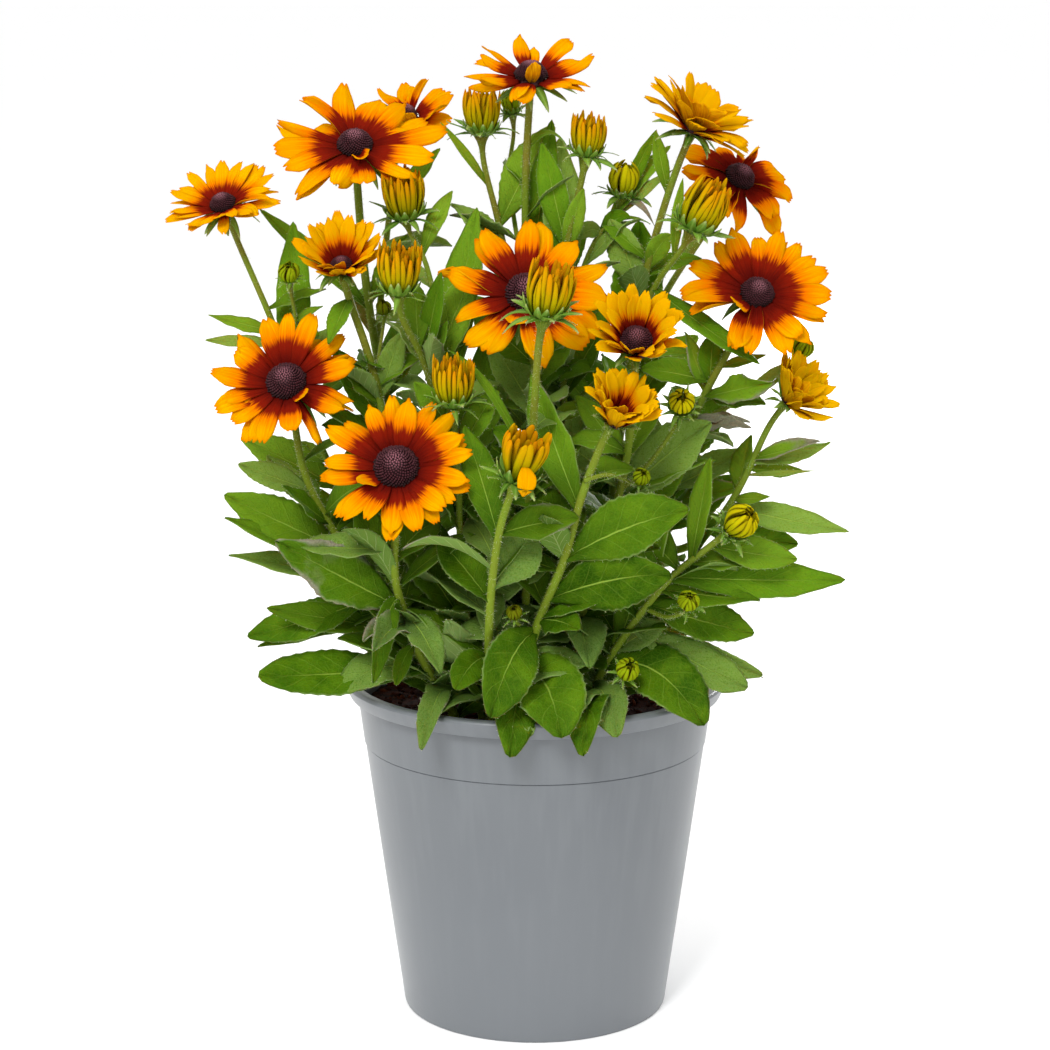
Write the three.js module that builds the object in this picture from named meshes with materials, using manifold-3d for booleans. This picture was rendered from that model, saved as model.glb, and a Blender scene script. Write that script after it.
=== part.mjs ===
// Black-eyed susan in a grey plastic nursery pot, in millimetres, +Z up.
// The origin is the middle of the pot's flat base. -Y is the front and +X the right-hand side.
import * as THREE from "three";
import { mergeVertices } from "three/addons/utils/BufferGeometryUtils.js";
import Module from "manifold-3d";

const wasm = await Module();
wasm.setup();

// Pot
const POT_HEIGHT = 169;
const POT_BASE_RADIUS = 66;
const POT_FLARE = 0.136; // growth of the outer radius for each millimetre of height
const POT_WALL = 1.8;
const POT_FLOOR = 2.6;
const POT_FOOT_ROUND = 3;
const ROUND_MIDDLE = 1 - Math.SQRT1_2; // how far the middle of a rounding lies inside its corner, as a share
const STEP_HEIGHT = 136; // fine step line under the rim
const STEP_DEPTH = 0.45;
const RIM_RADIUS = 95;
const RIM_HEIGHT = 8.4;
const RIM_ROUND = 1.6;
const RIM_SKIRT = 2;
const RIM_DRAFT = 0.4;
const RIM_INNER_RADIUS = 89.3;
const POT_SIDES = 36;
const DRAIN_RADIUS = 5;
const DRAIN_CIRCLE = 44;
const DRAIN_COUNT = 6;
const DRAIN_SIDES = 10;
const DRAIN_DEPTH = 8;

// Soil and the gap that touching pieces keep
const SOIL_TOP = 154;
const GAP = 0.3;
const SOCKET_GAP = GAP * Math.SQRT2; // at the corners of a square stalk, which leaves GAP on its flats

// Stems, leaves and sepals
const STALK_SIDES = 4;
const STALK_STEP = 34; // length of one straight stretch of a stalk
const LEAF_THICKNESS = 0.8;
const NARROW_LEAF = 15; // leaves narrower than this have a plainer outline
const LEAF_FULL_AT = 0.4; // share of its length at which a leaf is widest
const LEAF_TAPER_AT = 0.72;
const LEAF_TAPER = 0.78;
const LEAF_SHRINK = 0.82; // a leaf with no room is tried again at this share of its length
const LEAF_TRIES = 6;
const SEPAL_COUNT = 8;
const SEPAL_SHRINK = 0.75;
const SEAT_SHARE = 0.9; // a star tried for room stays this much under the gap to its own head
const SEPAL_THICKNESS = 2.2;
const SEPAL_WAIST = 0.34; // radius between two sepals, as a share of the head above them
const SEPAL_DROOP = 0.3;
const SEPAL_REACH = 0.27; // length of a flower's sepals for each millimetre across its rays
const SEPAL_LONGEST = 19;
const NECK_SINK = 1.4; // how far the end of a stalk lies under the top of its sepals
const NECK_STRAIGHT = 12; // the last stretch under a head, which is straight
const SMALL_NECK_STRAIGHT = 4;
const SMALL_BUD_SINK = 1; // how far the smallest buds reach into their sepals

// Flower heads
const RAY_THICKNESS = 0.8;
const RAY_FILL = 0.62; // share of the circle that the ends of the rays cover
const RAY_PLATE_EDGE = 1; // how far the plate of a ring of rays reaches past its cone
const CONE_SIDES = 8;
const CONE_TALL = 0.42; // height of a cone for each millimetre across
const BUD_SIDES = 8;

// Outlines from the foot to the top, as shares of the radius and of the height
const CONE_OUTLINE = [[0, 0], [0.86, 0], [1, 0.3], [0.82, 0.75], [0, 1]];
const BUD_OUTLINE = [[0, 0], [0.8, 0], [1, 0.35], [0.93, 0.8], [0.55, 1], [0, 0.93]];

// Below these, two corners are one, in millimetres, and a shared volume is none, in cubic millimetres
const SAME_CORNER = 0.0001;
const NO_VOLUME = 0.000001;

// Looks in plain daylight
const LOOKS = {
  pot: { color: "#8b9194", roughness: 0.45 },
  soil: { color: "#3a1d12", roughness: 1 },
  stem: { color: "#5d7f22", roughness: 0.6 },
  ray: { color: "#f5a013", roughness: 0.6 },
  cone: { color: "#3f1a22", roughness: 0.8 },
  bud: { color: "#b79a17", roughness: 0.6 },
};

// Heads: at = middle of the dark cone or of the bud, turn = degrees from the front towards the right,
// lift = degrees above level, across = width over the rays, cup = degrees that the rays rise.
const FLOWERS = {
  front_left: { at: [-64, -100, 294], turn: -5, lift: 38, across: 70, rays: 19, cone: 23, cup: 4 },
  left: { at: [-117, -60, 327], turn: -8, lift: 41, across: 68, rays: 17, cone: 21, cup: 2 },
  upper_left: { at: [-86, -10, 434], turn: 0, lift: 56, across: 76, rays: 14, cone: 19, cup: 3 },
  upper_left_back: { at: [-64, 56, 443], turn: 40, lift: 58, across: 56, rays: 12, cone: 15, cup: 16 },
  far_left: { at: [-149, -20, 406], turn: -25, lift: 58, across: 57, rays: 15, cone: 14, cup: 8 },
  cup_left: { at: [-91, -45, 379], turn: -5, lift: 52, across: 50, rays: 14, cone: 12, cup: 38 },
  top: { at: [-2, 5, 467], turn: 5, lift: 70, across: 68, rays: 13, cone: 21, cup: 14 },
  centre: { at: [-4, -55, 368], turn: 5, lift: 38, across: 78, rays: 14, cone: 22, cup: 2 },
  cup_centre: { at: [46, -84, 349], turn: 0, lift: 42, across: 56, rays: 15, cone: 18, cup: 46 },
  upper_right: { at: [77, -5, 442], turn: 55, lift: 62, across: 60, rays: 15, cone: 14, cup: 22 },
  upper_right_back: { at: [102, 33, 414], turn: 35, lift: 46, across: 60, rays: 13, cone: 17, cup: 2 },
  right: { at: [106, -25, 364], turn: 8, lift: 40, across: 74, rays: 16, cone: 18, cup: 3 },
  half_open_centre: { at: [37, -95, 315], turn: 32, lift: 48, across: 46, rays: 13, cone: 12, cup: 48 },
  half_open_right: { at: [124, -22, 312], turn: 58, lift: 45, across: 42, rays: 12, cone: 11, cup: 52 },
};

// Buds: across and tall are the size of the barrel of florets, and reach is the length of the sepals.
const BUDS = {
  top_left: { at: [-26, 15, 445], turn: 0, lift: 84, across: 19, tall: 20, reach: 15 },
  upper_middle: { at: [25, -5, 435], turn: 30, lift: 80, across: 18, tall: 18, reach: 14 },
  left_high: { at: [-63, -15, 408], turn: -20, lift: 74, across: 21, tall: 22, reach: 15 },
  left: { at: [-63, -68, 379], turn: 10, lift: 74, across: 21, tall: 22, reach: 12 },
  centre_front: { at: [6, -107, 374], turn: 40, lift: 72, across: 23, tall: 24, reach: 18 },
  low_left: { at: [-38, -80, 328], turn: 0, lift: 80, across: 20, tall: 21, reach: 15 },
  upper_right: { at: [80, -30, 404], turn: 65, lift: 62, across: 24, tall: 25, reach: 15 },
  globe: { at: [43, 15, 413], turn: 20, lift: 74, across: 16, tall: 16, reach: 13 },
  opening: { at: [-6, -115, 300], turn: 40, lift: 66, across: 22, tall: 23, reach: 15 },
  under_top: { at: [-12, 34, 449], turn: -40, lift: 78, across: 11, tall: 11, reach: 9 },
  facing: { at: [68, -63, 316], turn: 0, lift: 34, across: 13, tall: 11, reach: 10 },
  low_right: { at: [96, -72, 261], turn: 45, lift: 38, across: 17, tall: 16, reach: 11 },
};

// Buds too small for a piece of their own, which stay one with their stem.
const SMALL_BUDS = {
  far_left: { at: [-117, -26, 372], turn: 0, lift: 66, across: 11, tall: 9, reach: 7 },
  cup_left: { at: [-72, -31, 356], turn: 0, lift: 62, across: 8, tall: 7, reach: 5 },
  right: { at: [130, 2, 332], turn: 60, lift: 58, across: 12, tall: 11, reach: 8 },
  front_right: { at: [49, -77, 283], turn: 20, lift: 40, across: 9, tall: 8, reach: 6 },
  axil: { at: [-10, -84, 220], turn: -10, lift: 50, across: 8, tall: 7, reach: 6 },
  low_right: { at: [71, -86, 226], turn: 10, lift: 46, across: 11, tall: 9, reach: 7 },
  rim: { at: [43, -82, 192], turn: 20, lift: 40, across: 12, tall: 10, reach: 7 },
};

// Stems: each shoot is a route from the soil, or from its own stem, to its head. A leaf is
// [place along the route from 0 to 1, tip x, y and z, width, arch, how far its face turns to the front].
const STEMS = {
  front_left: [
    {
      radius: 2.1,
      route: [[-36, -34, 146], [-42, -42, 166], [-53, -56, 188], [-61, -70, 214], [-66, -82, 240]],
      flower: "front_left",
      leaves: [
        [0.53, -120, -92, 256, 23, 8, 0.55], [0.28, -131, -72, 186, 21, 22, 0.5],
        [0.61, -89, -98, 262, 11, 14, -0.5], [0.42, -80, -92, 208, 12, 10, 0.3],
        [0.23, -94, -66, 176, 16, 20, 0.45], [0.15, -53, -100, 158, 9, 26, 0.6],
        [0.57, -76, -88, 187, 10, 20, 0.5],
      ],
    },
  ],
  left: [
    {
      radius: 2,
      route: [[-40, -12, 146], [-56, -24, 184], [-79, -40, 220], [-99, -50, 257], [-110, -54, 282]],
      flower: "left",
      back: 3,
      leaves: [
        [0.72, -139, -66, 287, 11, 4, 0.5], [0.55, -146, -64, 272, 19, 8, 0.5],
        [0.5, -145, -74, 263, 14, 6, 0.5], [0.47, -145, -60, 242, 12, 8, 0.5],
        [0.63, -118, -74, 278, 13, 6, 0.6], [0.41, -137, -58, 202, 18, 16, 0.5],
        [0.37, -133, -50, 195, 12, 12, 0.5], [0.3, -127, -66, 218, 13, 12, 0.2],
      ],
    },
  ],
  far_left: [
    {
      radius: 1.7,
      route: [[-32, 22, 146], [-42, 10, 175], [-74, -4, 224], [-104, -14, 286], [-125, -18, 345]],
      flower: "far_left",
      back: 3,
      leaves: [
        [0.77, -157, -14, 350, 7, 3, 0.5], [0.75, -158, -22, 339, 6, 4, 0.5],
        [0.7, -117, 4, 393, 14, 0, 0.5], [0.48, -145, 10, 286, 17, 6, 0.5],
      ],
    },
    { radius: 1, route: [[-116, -17, 323], [-114, -22, 345]], small: "far_left", leaves: [] },
  ],
  upper_left: [
    {
      radius: 2.3,
      route: [[-25, 46, 146], [-33, 38, 180], [-54, 18, 246], [-73, 4, 308], [-81, -4, 357], [-84, -7, 393]],
      flower: "upper_left",
      back: 5,
      leaves: [
        [0.73, -134, 14, 398, 11, 12, 0.4], [0.68, -105, 8, 391, 6, 4, 0.5],
        [0.58, -39, 24, 339, 18, 6, 0.5],
      ],
    },
    {
      radius: 1.6,
      route: [[-77, 0, 333], [-73, 22, 383], [-69, 40, 412]],
      flower: "upper_left_back",
      leaves: [[0.5, -47, 46, 425, 9, 4, 0.4]],
    },
  ],
  cup_left: [
    {
      radius: 2.2,
      route: [[-22, 2, 146], [-39, -6, 182], [-58, -18, 233], [-70, -28, 289], [-78, -36, 331]],
      flower: "cup_left",
      back: 3,
      leaves: [[0.64, -97, -26, 336, 12, 6, 0.5], [0.52, -42, -16, 301, 17, 6, 0.5]],
    },
    { radius: 0.9, route: [[-76, -34, 321], [-74, -32, 336]], small: "cup_left", leaves: [] },
  ],
  buds_left: [
    {
      radius: 1.9,
      route: [[-12, 12, 146], [-22, 2, 188], [-35, -14, 252], [-45, -32, 298], [-53, -50, 336]],
      bud: "left",
      back: 3,
      leaves: [
        [0.69, -28, 0, 400, 19, 4, 0.5], [0.78, -27, -26, 374, 15, 8, 0.5],
        [0.57, -14, -34, 309, 14, 6, 0.5],
      ],
    },
    {
      radius: 1.4,
      route: [[-46, -34, 302], [-46, -24, 345], [-54, -18, 383]],
      bud: "left_high",
      leaves: [[0.58, -66, -8, 372, 7, 6, 0.4], [0.75, -40, 2, 408, 8, 6, 0.4]],
    },
  ],
  low_bud_left: [
    {
      radius: 1.8,
      route: [[-24, -30, 146], [-31, -44, 190], [-35, -57, 233], [-36, -69, 274], [-37, -75, 300]],
      bud: "low_left",
      back: 2,
      leaves: [
        [0.75, -58, -76, 300, 12, 6, 0.5], [0.84, -17, -70, 322, 11, 8, 0.5],
        [0.32, -44, -92, 223, 12, 6, -0.9],
      ],
    },
  ],
  front_middle: [
    {
      radius: 2.1,
      route: [[-18, -50, 146], [-22, -60, 173], [-22, -82, 208], [-20, -97, 240], [-16, -108, 268]],
      bud: "opening",
      leaves: [
        [0.69, -61, -118, 257, 8, 14, -0.5], [0.58, -45, -80, 254, 19, 4, 0.6],
        [0.63, 1, -86, 259, 21, 4, 0.6], [0.81, -33, -84, 308, 14, 4, 0.7],
        [0.36, -37, -104, 188, 13, 8, 0.5],
      ],
    },
  ],
  front_right: [
    {
      radius: 2.2,
      route: [[-4, -46, 146], [-6, -56, 177], [-1, -68, 205], [6, -78, 226], [14, -86, 248], [20, -91, 274]],
      flower: "half_open_centre",
      leaves: [
        [0.36, -21, -108, 176, 22, 16, 0.8], [0.21, 12, -104, 165, 23, 22, 0.8],
        [0.15, -12, -105, 156, 16, 24, 0.7], [0.4, 20, -98, 215, 14, 4, 0.7],
        [0.6, 70, -100, 272, 24, 6, 0.7], [0.47, 62, -106, 243, 23, 6, 0.7],
        [0.75, -2, -68, 330, 16, 2, 0.7], [0.6, 3, -102, 270, 12, 2, -0.7],
      ],
    },
    { radius: 1, route: [[22, -92, 284], [34, -86, 286]], small: "front_right", leaves: [] },
    { radius: 0.9, route: [[-2, -68, 203], [-6, -73, 210]], small: "axil", leaves: [] },
  ],
  centre_front: [
    {
      radius: 2.1,
      route: [[-6, -16, 146], [-5, -32, 196], [-4, -60, 250], [-2, -86, 297], [0, -101, 332]],
      bud: "centre_front",
      back: 3,
      leaves: [
        [0.67, -41, -60, 340, 4, 18, 0.5], [0.59, 23, -64, 300, 14, 6, 0.6],
        [0.43, -30, -54, 270, 17, 6, 0.6], [0.35, 25, -58, 243, 17, 6, 0.6],
      ],
    },
  ],
  centre: [
    {
      radius: 2.2,
      route: [[5, 12, 146], [5, 2, 197], [6, -12, 251], [4, -28, 293], [0, -38, 326]],
      flower: "centre",
      back: 4,
      leaves: [
        [0.44, 31, -6, 297, 19, 6, 0.5], [0.37, -27, -2, 269, 20, 6, 0.5],
        [0.69, -22, -10, 337, 16, 6, 0.5], [0.51, 36, -16, 321, 13, 6, 0.5],
      ],
    },
  ],
  top: [
    {
      radius: 2.2,
      route: [[-4, 50, 146], [-1, 42, 200], [-2, 30, 264], [-3, 18, 335], [-5, 10, 394], [-4, 7, 434]],
      flower: "top",
      back: 6,
      leaves: [
        [0.68, 8, 18, 441, 13, 0, 0.5], [0.62, 25, 24, 385, 15, 10, 0.5],
        [0.89, 18, 10, 424, 4, 20, 0.4], [0.52, -32, 34, 353, 20, 8, 0.5],
        [0.37, 34, 40, 337, 20, 8, 0.5],
      ],
    },
    {
      radius: 1.7,
      route: [[-3, 18, 333], [-13, 14, 370], [-20, 14, 401]],
      bud: "top_left",
      leaves: [
        [0.57, 9, 24, 438, 18, 2, 0.5], [0.75, -46, 16, 440, 4, 2, 0.4],
        [0.36, -41, 8, 401, 17, 6, 0.5],
      ],
    },
    {
      radius: 1.2,
      route: [[-4, 15, 358], [-11, 24, 396], [-13, 30, 422]],
      bud: "under_top",
      leaves: [[0.66, 12, 4, 398, 4, 14, 0.5]],
    },
  ],
  upper_middle: [
    {
      radius: 1.9,
      route: [[16, 44, 146], [18, 36, 201], [16, 22, 264], [13, 6, 336], [15, -3, 386]],
      bud: "upper_middle",
      back: 4,
      leaves: [
        [0.77, 12, 24, 432, 17, 2, 0.5], [0.57, 41, 2, 352, 17, 8, 0.5],
        [0.48, -9, 38, 323, 17, 8, 0.5],
      ],
    },
    {
      radius: 1.4,
      route: [[13, 7, 328], [22, 11, 366], [33, 14, 390]],
      bud: "globe",
      leaves: [
        [0.5, 51, 4, 394, 13, 8, 0.5], [0.77, 66, 24, 428, 9, 4, 0.4],
        [0.77, 56, 12, 391, 4, 6, 0.3],
      ],
    },
  ],
  upper_right: [
    {
      radius: 2.1,
      route: [[30, 34, 146], [34, 26, 213], [42, 14, 286], [49, 5, 346], [58, -2, 388]],
      flower: "upper_right",
      back: 6,
      leaves: [
        [0.59, 51, 26, 391, 22, 2, 0.6], [0.75, 81, 12, 374, 10, 6, 0.5],
        [0.5, 81, 34, 333, 17, 8, 0.5], [0.89, 58, 14, 436, 6, 2, 0.4],
      ],
    },
    {
      radius: 1.6,
      route: [[45, 10, 314], [51, -7, 348], [61, -20, 372]],
      bud: "upper_right",
      leaves: [[0.61, 106, -40, 330, 11, 12, 0.5]],
    },
    {
      radius: 1.6,
      route: [[46, 10, 322], [66, 26, 359], [84, 34, 384]],
      flower: "upper_right_back",
      leaves: [[0.5, 85, 56, 398, 7, 4, 0.4]],
    },
  ],
  right: [
    {
      radius: 2.1,
      route: [[38, 14, 146], [48, 2, 208], [62, -8, 260], [79, -14, 306], [92, -17, 332]],
      flower: "right",
      back: 4,
      leaves: [
        [0.74, 113, -40, 322, 12, 6, 0.5], [0.68, 103, -38, 299, 8, 4, 0.4],
        [0.56, 92, 12, 306, 18, 6, 0.5], [0.42, 101, 14, 266, 18, 8, 0.5],
      ],
    },
    {
      radius: 1.8,
      route: [[54, -4, 232], [75, -12, 234], [93, -20, 256], [104, -22, 278]],
      flower: "half_open_right",
      leaves: [
        [0.47, 151, -30, 247, 13, 14, 0.6], [0.71, 136, -34, 292, 9, 4, 0.5],
        [0.66, 130, -14, 274, 7, 6, 0.5], [0.33, 128, -16, 238, 16, 12, 0.6],
      ],
    },
    {
      radius: 1.2,
      route: [[75, -13, 295], [96, -4, 305], [116, 0, 314]],
      small: "right",
      leaves: [[0.49, 124, 14, 323, 6, 6, 0.4]],
    },
  ],
  cup_centre: [
    {
      radius: 2.1,
      route: [[10, -24, 146], [19, -34, 196], [33, -48, 244], [42, -60, 284], [45, -68, 314]],
      flower: "cup_centre",
      back: 3,
      leaves: [
        [0.6, 83, -46, 303, 22, 6, 0.6], [0.29, 25, -84, 193, 19, 16, 0.6],
        [0.23, 62, -66, 208, 19, 6, 0.5], [0.7, 19, -46, 316, 11, 4, 0.6],
        [0.51, 72, -22, 277, 17, 8, 0.6],
      ],
    },
    { radius: 1.1, route: [[40, -57, 273], [52, -58, 284], [61, -57, 296]], bud: "facing", leaves: [] },
  ],
  low_right: [
    {
      radius: 1.9,
      route: [[20, -42, 146], [29, -49, 177], [45, -57, 206], [62, -62, 230], [78, -64, 244]],
      bud: "low_right",
      back: 2,
      leaves: [
        [0.17, 12, -98, 167, 16, 20, 0.7], [0.14, 22, -103, 156, 15, 24, 0.7],
        [0.2, 38, -99, 164, 13, 20, 0.7], [0.31, 79, -86, 166, 20, 24, 0.7],
        [0.49, 101, -62, 178, 17, 18, 0.6], [0.54, 110, -44, 178, 4, 20, 0.5],
        [0.59, 104, -56, 203, 19, 12, 0.6], [0.66, 106, -64, 221, 15, 8, 0.6],
        [0.72, 148, -46, 227, 16, 12, 0.6], [0.8, 108, -50, 240, 12, 6, 0.6],
        [0.22, 49, -78, 183, 6, 6, 0.3],
      ],
    },
    { radius: 1, route: [[52, -59, 216], [62, -69, 214]], small: "low_right", leaves: [] },
    { radius: 1.1, route: [[27, -48, 173], [33, -60, 178]], small: "rim", leaves: [] },
  ],
};

// Leaves that fill the back of the plant, one above the other round each stem that has some: the first
// one's place on the stem, turn and rise in degrees, and what each later one adds to or takes from it.
const BACK_LEAF = {
  first: 0.1,
  apart: 0.085,
  length: 70,
  shorter: 5,
  turn: 72,
  spread: 58,
  creep: 9,
  rise: 4,
  steeper: 9,
  width: 24,
  arch: 12,
  facing: -0.4,
};

const UP = new THREE.Vector3(0, 0, 1);
const point = (xyz) => new THREE.Vector3(...xyz);
const curveThrough = (points) => new THREE.CatmullRomCurve3(points, false, "catmullrom", 0.5);
const radians = THREE.MathUtils.degToRad;

// The closed solid of a geometry, with the vertices that its faces share merged.
function solidOf(geometry) {
  const bare = geometry.clone();
  bare.deleteAttribute("normal");
  bare.deleteAttribute("uv");
  const merged = mergeVertices(bare, SAME_CORNER);
  const mesh = new wasm.Mesh({
    numProp: 3,
    vertProperties: merged.attributes.position.array,
    triVerts: new Uint32Array(merged.index.array),
  });
  return new wasm.Manifold(mesh);
}

function geometryOf(solid) {
  const mesh = solid.getMesh();
  const geometry = new THREE.BufferGeometry();
  geometry.setAttribute("position", new THREE.BufferAttribute(mesh.vertProperties, 3));
  geometry.setIndex(new THREE.BufferAttribute(mesh.triVerts, 1));
  geometry.computeVertexNormals();
  return geometry;
}

// A closed shell from its corners and faces.
function shell(corners, faces) {
  const geometry = new THREE.BufferGeometry();
  geometry.setAttribute("position", new THREE.Float32BufferAttribute(corners.flat(), 3));
  geometry.setIndex(faces.flat());
  return geometry;
}

function turned(profile, sides) {
  const geometry = new THREE.LatheGeometry(
    profile.map(([radius, height]) => new THREE.Vector2(radius, height)),
    sides,
  );
  return geometry.rotateX(Math.PI / 2);
}

const wallRadius = (height) => POT_BASE_RADIUS + POT_FLARE * height;

function pot() {
  const rimFoot = POT_HEIGHT - RIM_HEIGHT;
  const bridge = POT_HEIGHT - RIM_SKIRT;
  const outside = [
    [POT_BASE_RADIUS - POT_FOOT_ROUND, 0],
    [wallRadius(0) - POT_FOOT_ROUND * ROUND_MIDDLE, POT_FOOT_ROUND * ROUND_MIDDLE],
    [wallRadius(POT_FOOT_ROUND), POT_FOOT_ROUND],
    [wallRadius(STEP_HEIGHT), STEP_HEIGHT],
    [wallRadius(STEP_HEIGHT) + STEP_DEPTH, STEP_HEIGHT + STEP_DEPTH],
    [wallRadius(bridge) + STEP_DEPTH, bridge],
    [RIM_RADIUS - RIM_SKIRT, bridge],
    [RIM_RADIUS - RIM_SKIRT, rimFoot],
    [RIM_RADIUS - RIM_DRAFT, rimFoot],
    [RIM_RADIUS, POT_HEIGHT - RIM_ROUND * 2],
    [RIM_RADIUS - RIM_ROUND, POT_HEIGHT],
    [RIM_INNER_RADIUS, POT_HEIGHT],
  ];
  const inside = [
    [wallRadius(bridge) - POT_WALL, bridge],
    [wallRadius(POT_FLOOR) - POT_WALL, POT_FLOOR],
    [0, POT_FLOOR],
  ];
  const body = solidOf(turned([[0, 0], ...outside, ...inside], POT_SIDES));
  const drain = new THREE.CylinderGeometry(DRAIN_RADIUS, DRAIN_RADIUS, DRAIN_DEPTH, DRAIN_SIDES);
  drain.rotateX(Math.PI / 2);
  let pierced = body;
  for (let i = 0; i < DRAIN_COUNT; i += 1) {
    const angle = (i / DRAIN_COUNT) * Math.PI * 2;
    const hole = drain.clone().translate(DRAIN_CIRCLE * Math.cos(angle), DRAIN_CIRCLE * Math.sin(angle), 0);
    pierced = pierced.subtract(solidOf(hole));
  }
  return pierced;
}

function soilBlock() {
  const floor = POT_FLOOR + GAP;
  const rim = (height) => wallRadius(height) - POT_WALL - GAP;
  const profile = [[0, floor], [rim(floor), floor], [rim(SOIL_TOP), SOIL_TOP], [0, SOIL_TOP]];
  return solidOf(turned(profile, POT_SIDES));
}

const stepsOf = (curve) => Math.max(2, Math.round(curve.getLength() / STALK_STEP));

function stalk(route, radius) {
  const curve = curveThrough(route);
  const section = new THREE.Shape();
  for (let i = 0; i < STALK_SIDES; i += 1) {
    const angle = (i / STALK_SIDES) * Math.PI * 2;
    const place = [radius * Math.cos(angle), radius * Math.sin(angle)];
    if (i) section.lineTo(...place);
    else section.moveTo(...place);
  }
  const steps = stepsOf(curve);
  return new THREE.ExtrudeGeometry(section, { steps, extrudePath: curve, bevelEnabled: false });
}

// A point on the middle line of a stalk, at a share of its length.
function alongStalk(route, share) {
  const curve = curveThrough(route);
  const knots = curve.getSpacedPoints(stepsOf(curve));
  const at = share * (knots.length - 1);
  const i = Math.min(Math.floor(at), knots.length - 2);
  return knots[i].clone().lerp(knots[i + 1], at - i);
}

// Which way a head faces, and the turn that brings +Z there.
function facingOf({ turn, lift }) {
  const level = Math.cos(radians(lift));
  return new THREE.Vector3(
    Math.sin(radians(turn)) * level,
    -Math.cos(radians(turn)) * level,
    Math.sin(radians(lift)),
  );
}

// Moves a piece made round the origin, facing +Z, to the foot of its head.
function placed(geometry, head, drop) {
  const facing = facingOf(head);
  const turn = new THREE.Quaternion().setFromUnitVectors(UP, facing);
  const at = point(head.at).addScaledVector(facing, -drop);
  return geometry.applyMatrix4(new THREE.Matrix4().compose(at, turn, new THREE.Vector3(1, 1, 1)));
}

const coneTall = (head) => head.cone * CONE_TALL;

// An outline brought to its size.
const sized = (outline, radius, tall) => outline.map(([out, up]) => [out * radius, up * tall]);

function cone(head) {
  const tall = coneTall(head);
  return solidOf(placed(turned(sized(CONE_OUTLINE, head.cone / 2, tall), CONE_SIDES), head, tall / 2));
}

// The ring of rays: a small plate with one flat blunt ray after the other round it.
function rays(head) {
  const plate = head.cone / 2 + RAY_PLATE_EDGE;
  const reach = head.across / 2;
  const rise = Math.sin(radians(head.cup));
  const out = Math.cos(radians(head.cup));
  const step = (Math.PI * 2) / head.rays;
  const lifted = (radius, angle, level) => {
    const along = radius - plate;
    const flat = plate + along * out;
    return [flat * Math.cos(angle), flat * Math.sin(angle), level + along * rise];
  };
  const rim = [[plate, -step / 2], [reach, (-step / 2) * RAY_FILL], [reach, (step / 2) * RAY_FILL]];
  const corners = [[0, 0, 0], [0, 0, -RAY_THICKNESS]];
  const faces = [];
  const first = (i) => 2 + (i % head.rays) * rim.length * 2;
  for (let i = 0; i < head.rays; i += 1) {
    const ring = [...rim.map((_, k) => first(i) + k * 2), first(i + 1)];
    const [valley, left, right, next] = ring;
    faces.push([0, valley, next], [valley, left, right], [valley, right, next]);
    faces.push([1, next + 1, valley + 1]);
    faces.push([valley + 1, right + 1, left + 1], [valley + 1, next + 1, right + 1]);
    rim.forEach(([radius, turn], k) => {
      const angle = i * step + turn;
      const [a, b] = [ring[k], ring[k + 1]];
      corners.push(lifted(radius, angle, 0), lifted(radius, angle, -RAY_THICKNESS));
      faces.push([a, a + 1, b + 1], [a, b + 1, b]);
    });
  }
  return solidOf(placed(shell(corners, faces), head, coneTall(head) / 2 + GAP));
}

function bud(head) {
  const outline = sized(BUD_OUTLINE, head.across / 2, head.tall);
  return solidOf(placed(turned(outline, BUD_SIDES), head, head.tall / 2));
}

// The star of green sepals under a head, thick in the middle and sharp at its edge.
function sepals(head, share, grow) {
  const own = head.reach ?? Math.min(SEPAL_LONGEST, head.across * SEPAL_REACH);
  const reach = own * share + grow;
  const waist = (head.cone ?? head.across) * SEPAL_WAIST + grow;
  const corners = [[0, 0, 0], [0, 0, -SEPAL_THICKNESS - grow * 2]];
  const faces = [];
  const count = SEPAL_COUNT * 2;
  for (let i = 0; i < count; i += 1) {
    const angle = (i / count) * Math.PI * 2;
    const radius = i % 2 ? waist : reach;
    const fall = own * SEPAL_DROOP * (radius / reach);
    corners.push([radius * Math.cos(angle), radius * Math.sin(angle), -fall]);
    const [here, next] = [2 + i, 2 + ((i + 1) % count)];
    faces.push([0, here, next], [1, next, here]);
  }
  return shell(corners, faces);
}

const headOf = (shoot) =>
  FLOWERS[shoot.flower] ?? BUDS[shoot.bud] ?? SMALL_BUDS[shoot.small];

// From the middle of the head down to the top of its sepals.
function seatDrop(shoot) {
  const head = headOf(shoot);
  if (shoot.flower) return coneTall(head) / 2 + GAP + RAY_THICKNESS + GAP;
  return head.tall / 2 + (shoot.bud ? GAP : -SMALL_BUD_SINK);
}

// The whole route of a shoot, which ends square to its sepals.
function routeOf(shoot) {
  const head = headOf(shoot);
  const facing = facingOf(head);
  const straight = shoot.small ? SMALL_NECK_STRAIGHT : NECK_STRAIGHT;
  const neck = point(head.at).addScaledVector(facing, -seatDrop(shoot) - NECK_SINK);
  return [...shoot.route.map(point), neck.clone().addScaledVector(facing, -straight), neck];
}

// A leaf outline with its length from 0 to 1, which starts in the middle of its stalk.
function leafOutline(half) {
  const edge = [[LEAF_FULL_AT, half], [LEAF_TAPER_AT, half * LEAF_TAPER]];
  if (half * 2 < NARROW_LEAF) edge.pop();
  const right = edge.map(([along, out]) => new THREE.Vector2(along, -out));
  const left = edge.map(([along, out]) => new THREE.Vector2(along, out)).reverse();
  return new THREE.Shape([new THREE.Vector2(0, 0), ...right, new THREE.Vector2(1, 0), ...left]);
}

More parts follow.
